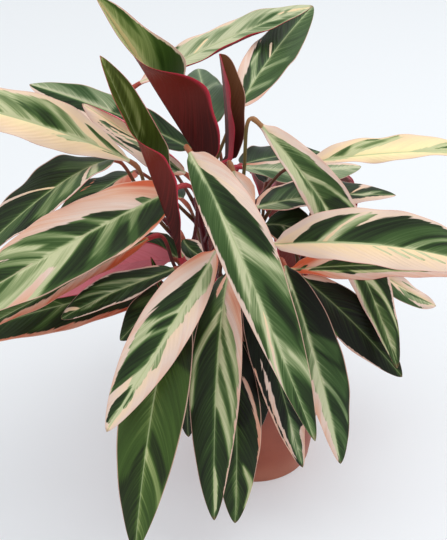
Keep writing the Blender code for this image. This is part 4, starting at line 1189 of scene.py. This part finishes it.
# The leaves on the far side, which the photograph does not show. They follow the habit and the markings of
# the ones in front.
grow([
    leaf("rear_1", "shoot_7", 0.6, (10, 70, 225), (20, 140, 200), (30, 190, 110), width=42,
         face=(0, 0.8, 0.8), tone=0.35, marks=[
        ("cream", (-10, 130), (-10, 0), (5, 0), (14, 35), (30, 65), (50, 85), (55, 130)),
        ("sage", (34, 2), (44, 2), (60, 90), (70, 130), (58, 130), (48, 60)),
        ("mid", (50, 0), (70, 0), (85, -120), (66, -120)),
        ("sage", (20, -2), (26, -2), (42, -90), (36, -90)),
        ("cream", (60, -3), (64, -3), (82, -120), (74, -120)),
    ]),
    leaf("rear_2", "shoot_9", 0.99, (50, 58, 205), (78, 112, 172), (100, 145, 95), width=42,
         face=(0.4, 0.8, 0.8), ground="cream", tone=0.35, marks=[
        ("pale", (8, 0), (98, 0), (98, 60), (86, 95), (50, 88), (26, 60), (10, 30)),
        ("dark", (10, 4), (36, 4), (50, 74), (40, 88), (22, 50)),
        ("mid", (40, 4), (46, 4), (64, 86), (58, 90)),
        ("dark", (52, 4), (72, 4), (88, 84), (76, 94), (62, 50)),
        ("pale", (16, 0), (98, 0), (86, -50), (60, -40), (40, -50)),
        ("sage", (30, -4), (40, -4), (52, -40), (46, -44)),
        ("dark", (62, -4), (76, -4), (88, -40), (80, -44)),
        ("mid", (82, 4), (92, 4), (98, 60), (93, 80)),
    ]),
    leaf("rear_3", "shoot_6", 0.56, (-60, 60, 215), (-95, 115, 190), (-120, 155, 105), width=42,
         face=(-0.4, 0.7, 0.7), tone=0.45, blush=0.65, marks=[
        ("cream", (-10, -130), (-10, 10), (8, 0), (18, -40), (34, -70), (60, -90), (65, -130)),
        ("mid", (20, 3), (40, 3), (56, 120), (40, 120)),
        ("sage", (50, -3), (56, -3), (74, -90), (68, -90)),
        ("cream", (62, 3), (68, 3), (88, 120), (80, 120)),
    ]),
    leaf("rear_4", "shoot_9", 0.8, (70, 40, 190), (106, 66, 160), (128, 82, 100), width=34,
         face=(0.9, 0.1, 0.7), tone=0.4, marks=[
        ("cream", (0, 80), (40, 86), (90, 92), (90, 130), (0, 130)),
        ("sage", (30, -3), (36, -3), (54, -90), (48, -90)),
        ("sage", (42, 3), (48, 3), (66, 90), (60, 90)),
    ]),
    leaf("rear_5", "shoot_9", 0.62, (30, 70, 180), (38, 115, 140), (45, 135, 60), width=34,
         face=(0.2, 0.9, 0.4), tone=0.5, marks=[
        ("cream", (0, -70), (40, -80), (60, -90), (60, -130), (0, -130)),
        ("mid", (30, 0), (60, 0), (75, 90), (50, 90)),
    ]),
    leaf("rear_6", "shoot_6", 0.42, (-30, 70, 180), (-38, 120, 140), (-48, 140, 55), width=36,
         face=(-0.1, 0.9, 0.4), ground="mid", tone=0.7, marks=[
        ("dark", (10, 0), (40, 0), (55, -120), (20, -120)),
        ("sage", (60, 3), (64, 3), (80, 90), (75, 90)),
    ]),
    leaf("rear_7", "shoot_7", 0.62, (-26, 58, 214), (-30, 128, 204), (-40, 180, 130), width=40,
         face=(0, 0.8, 0.8), ground="cream", blush=0.4, marks=[
        ("pale", (8, 0), (97, 0), (88, -24), (62, -30), (40, -36), (24, -62), (12, -40)),
        ("pale", (10, 0), (97, 0), (95, 60), (80, 88), (52, 80), (30, 56), (12, 30)),
        ("dark", (12, 4), (34, 4), (50, 72), (42, 84), (22, 44)),
        ("dark", (42, 4), (62, 4), (82, 86), (68, 92), (52, 50)),
        ("sage", (16, -4), (30, -4), (44, -34), (30, -44)),
        ("dark", (48, -4), (62, -4), (76, -30), (66, -34)),
        ("mid", (72, 4), (86, 4), (96, 60), (86, 80)),
    ]),
    leaf("rear_8", "shoot_7", 0.78, (38, 68, 226), (70, 122, 206), (96, 164, 136), width=40,
         face=(0.3, 0.8, 0.8), marks=[
        ("cream", (-10, 130), (-10, -10), (6, 0), (16, 40), (30, 66), (60, 90), (60, 130)),
        ("sage", (40, -3), (50, -3), (66, -100), (58, -100)),
        ("cream", (44, -20), (47, -20), (63, -100), (60, -100)),
        ("mid", (50, 3), (70, 3), (86, 90), (70, 90)),
    ]),
    leaf("rear_9", "shoot_9", 0.9, (68, 28, 205), (114, 60, 186), (158, 92, 138), width=36,
         face=(0.4, 0.2, 1), ground="mid", tone=0.45, marks=[
        ("cream", (-10, -130), (-10, 10), (6, 0), (16, -45), (30, -70), (55, -90), (60, -130)),
        ("dark", (30, 3), (50, 3), (66, 90), (50, 90)),
        ("sage", (50, -3), (56, -3), (74, -90), (68, -90)),
    ]),
])

# The shoots: nine slender canes of rolled leaf sheaths, green below and flushed wine red above. Each stands
# in its own hole in the soil and carries a short stub for each leaf stalk. Both are swept along their lines.
HOLE_DEPTH, FOOT_GAP = 24, 0.5
CANE_RADIUS, CANE_FLARE, CANE_TAPER = 3.2, 1.1, 0.4
CANE_STEPS = 40
CANE_SIDES = 16
# The knot that each leaf leaves on its cane, in mm, and how much of the cane it takes up
KNOT_SWELL, KNOT_LIMIT, KNOT_REACH = 0.35, 0.45, 0.03
STUB_RADIUS = 2.1
# How far each station of a stub lies from the middle of its cane, and the radius there
STUB_SHAPE = [
    (0, STUB_RADIUS * 1.1), (STUB_LENGTH * 0.5, STUB_RADIUS), (STUB_LENGTH * 0.9, STUB_RADIUS * 0.86),
    (STUB_LENGTH, STUB_RADIUS * 0.84), (STUB_LENGTH + 0.2, STALK_RADIUS + 0.2),
]

cane_finish, tree, shader = new_material("cane")
place = put(tree, "TexCoord")["Object"]
height = put(tree, "SeparateXYZ", {0: place})[2]
stretched = put(tree, "VectorMath", {0: place, 1: (900, 900, 45)}, operation="MULTIPLY")[0]
lines = noise(tree, stretched, 1, 3)
blotches = noise(tree, place, 70, 2)
# Olive sheaths with lengthwise lines, flushed wine red higher up
flush = step(tree, add_all(tree, height, (blotches, 0.07)), 0.15, 0.24)
tint = mix(tree, step(tree, lines, 0.4, 0.62), paint(74, 66, 36), paint(112, 104, 62))
tint = mix(tree, flush, tint, paint(96, 28, 34))
tint = mix(tree, times(tree, step(tree, lines, 0.56, 0.66), 0.5), tint, paint(54, 22, 24))
dress(tree, shader, tint, 0.42, 0.3, (0.35, 0.0004, lines))

sweep, given = new_tree("cane_sweep", {"Sides": "Int"})
section = build(sweep, "CurvePrimitiveCircle", {"Resolution": given[1], "Radius": 1.0})
swept = {"Curve": given[0], "Profile Curve": section, "Scale": build(sweep, "InputRadius")}
end_tree(sweep, build(sweep, "CurveToMesh", {**swept, "Fill Caps": True}), cane_finish)

for name, (foot, _, _) in SHOOTS.items():
    carried = [row for row in grown if row["shoot"] == name]
    stations = [(Vector((*foot, SOIL_TOP - HOLE_DEPTH + FOOT_GAP)), CANE_RADIUS * CANE_FLARE)]
    for k in range(CANE_STEPS + 1):
        share = k / CANE_STEPS
        knot = sum(KNOT_SWELL * math.exp(-(((share - row["joint"]) / KNOT_REACH) ** 2)) for row in carried)
        size = CANE_RADIUS * (CANE_FLARE - CANE_TAPER * share) + min(knot, KNOT_LIMIT)
        stations.append((shoot_point(name, share), size))
    lines = [stations]
    for row in carried:
        if row["joint"] < 1:
            root, direction = stub_of(name, row["joint"], row["base"])
            lines.append([(root + direction * reach, size) for reach, size in STUB_SHAPE])
    lines = [[(place * MM, size * MM) for place, size in points] for points in lines]
    cane = as_mesh(name + "_cane", new_curve(name, lines), sweep, {"Sides": CANE_SIDES})
    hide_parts(name)
    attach(cane, "root")
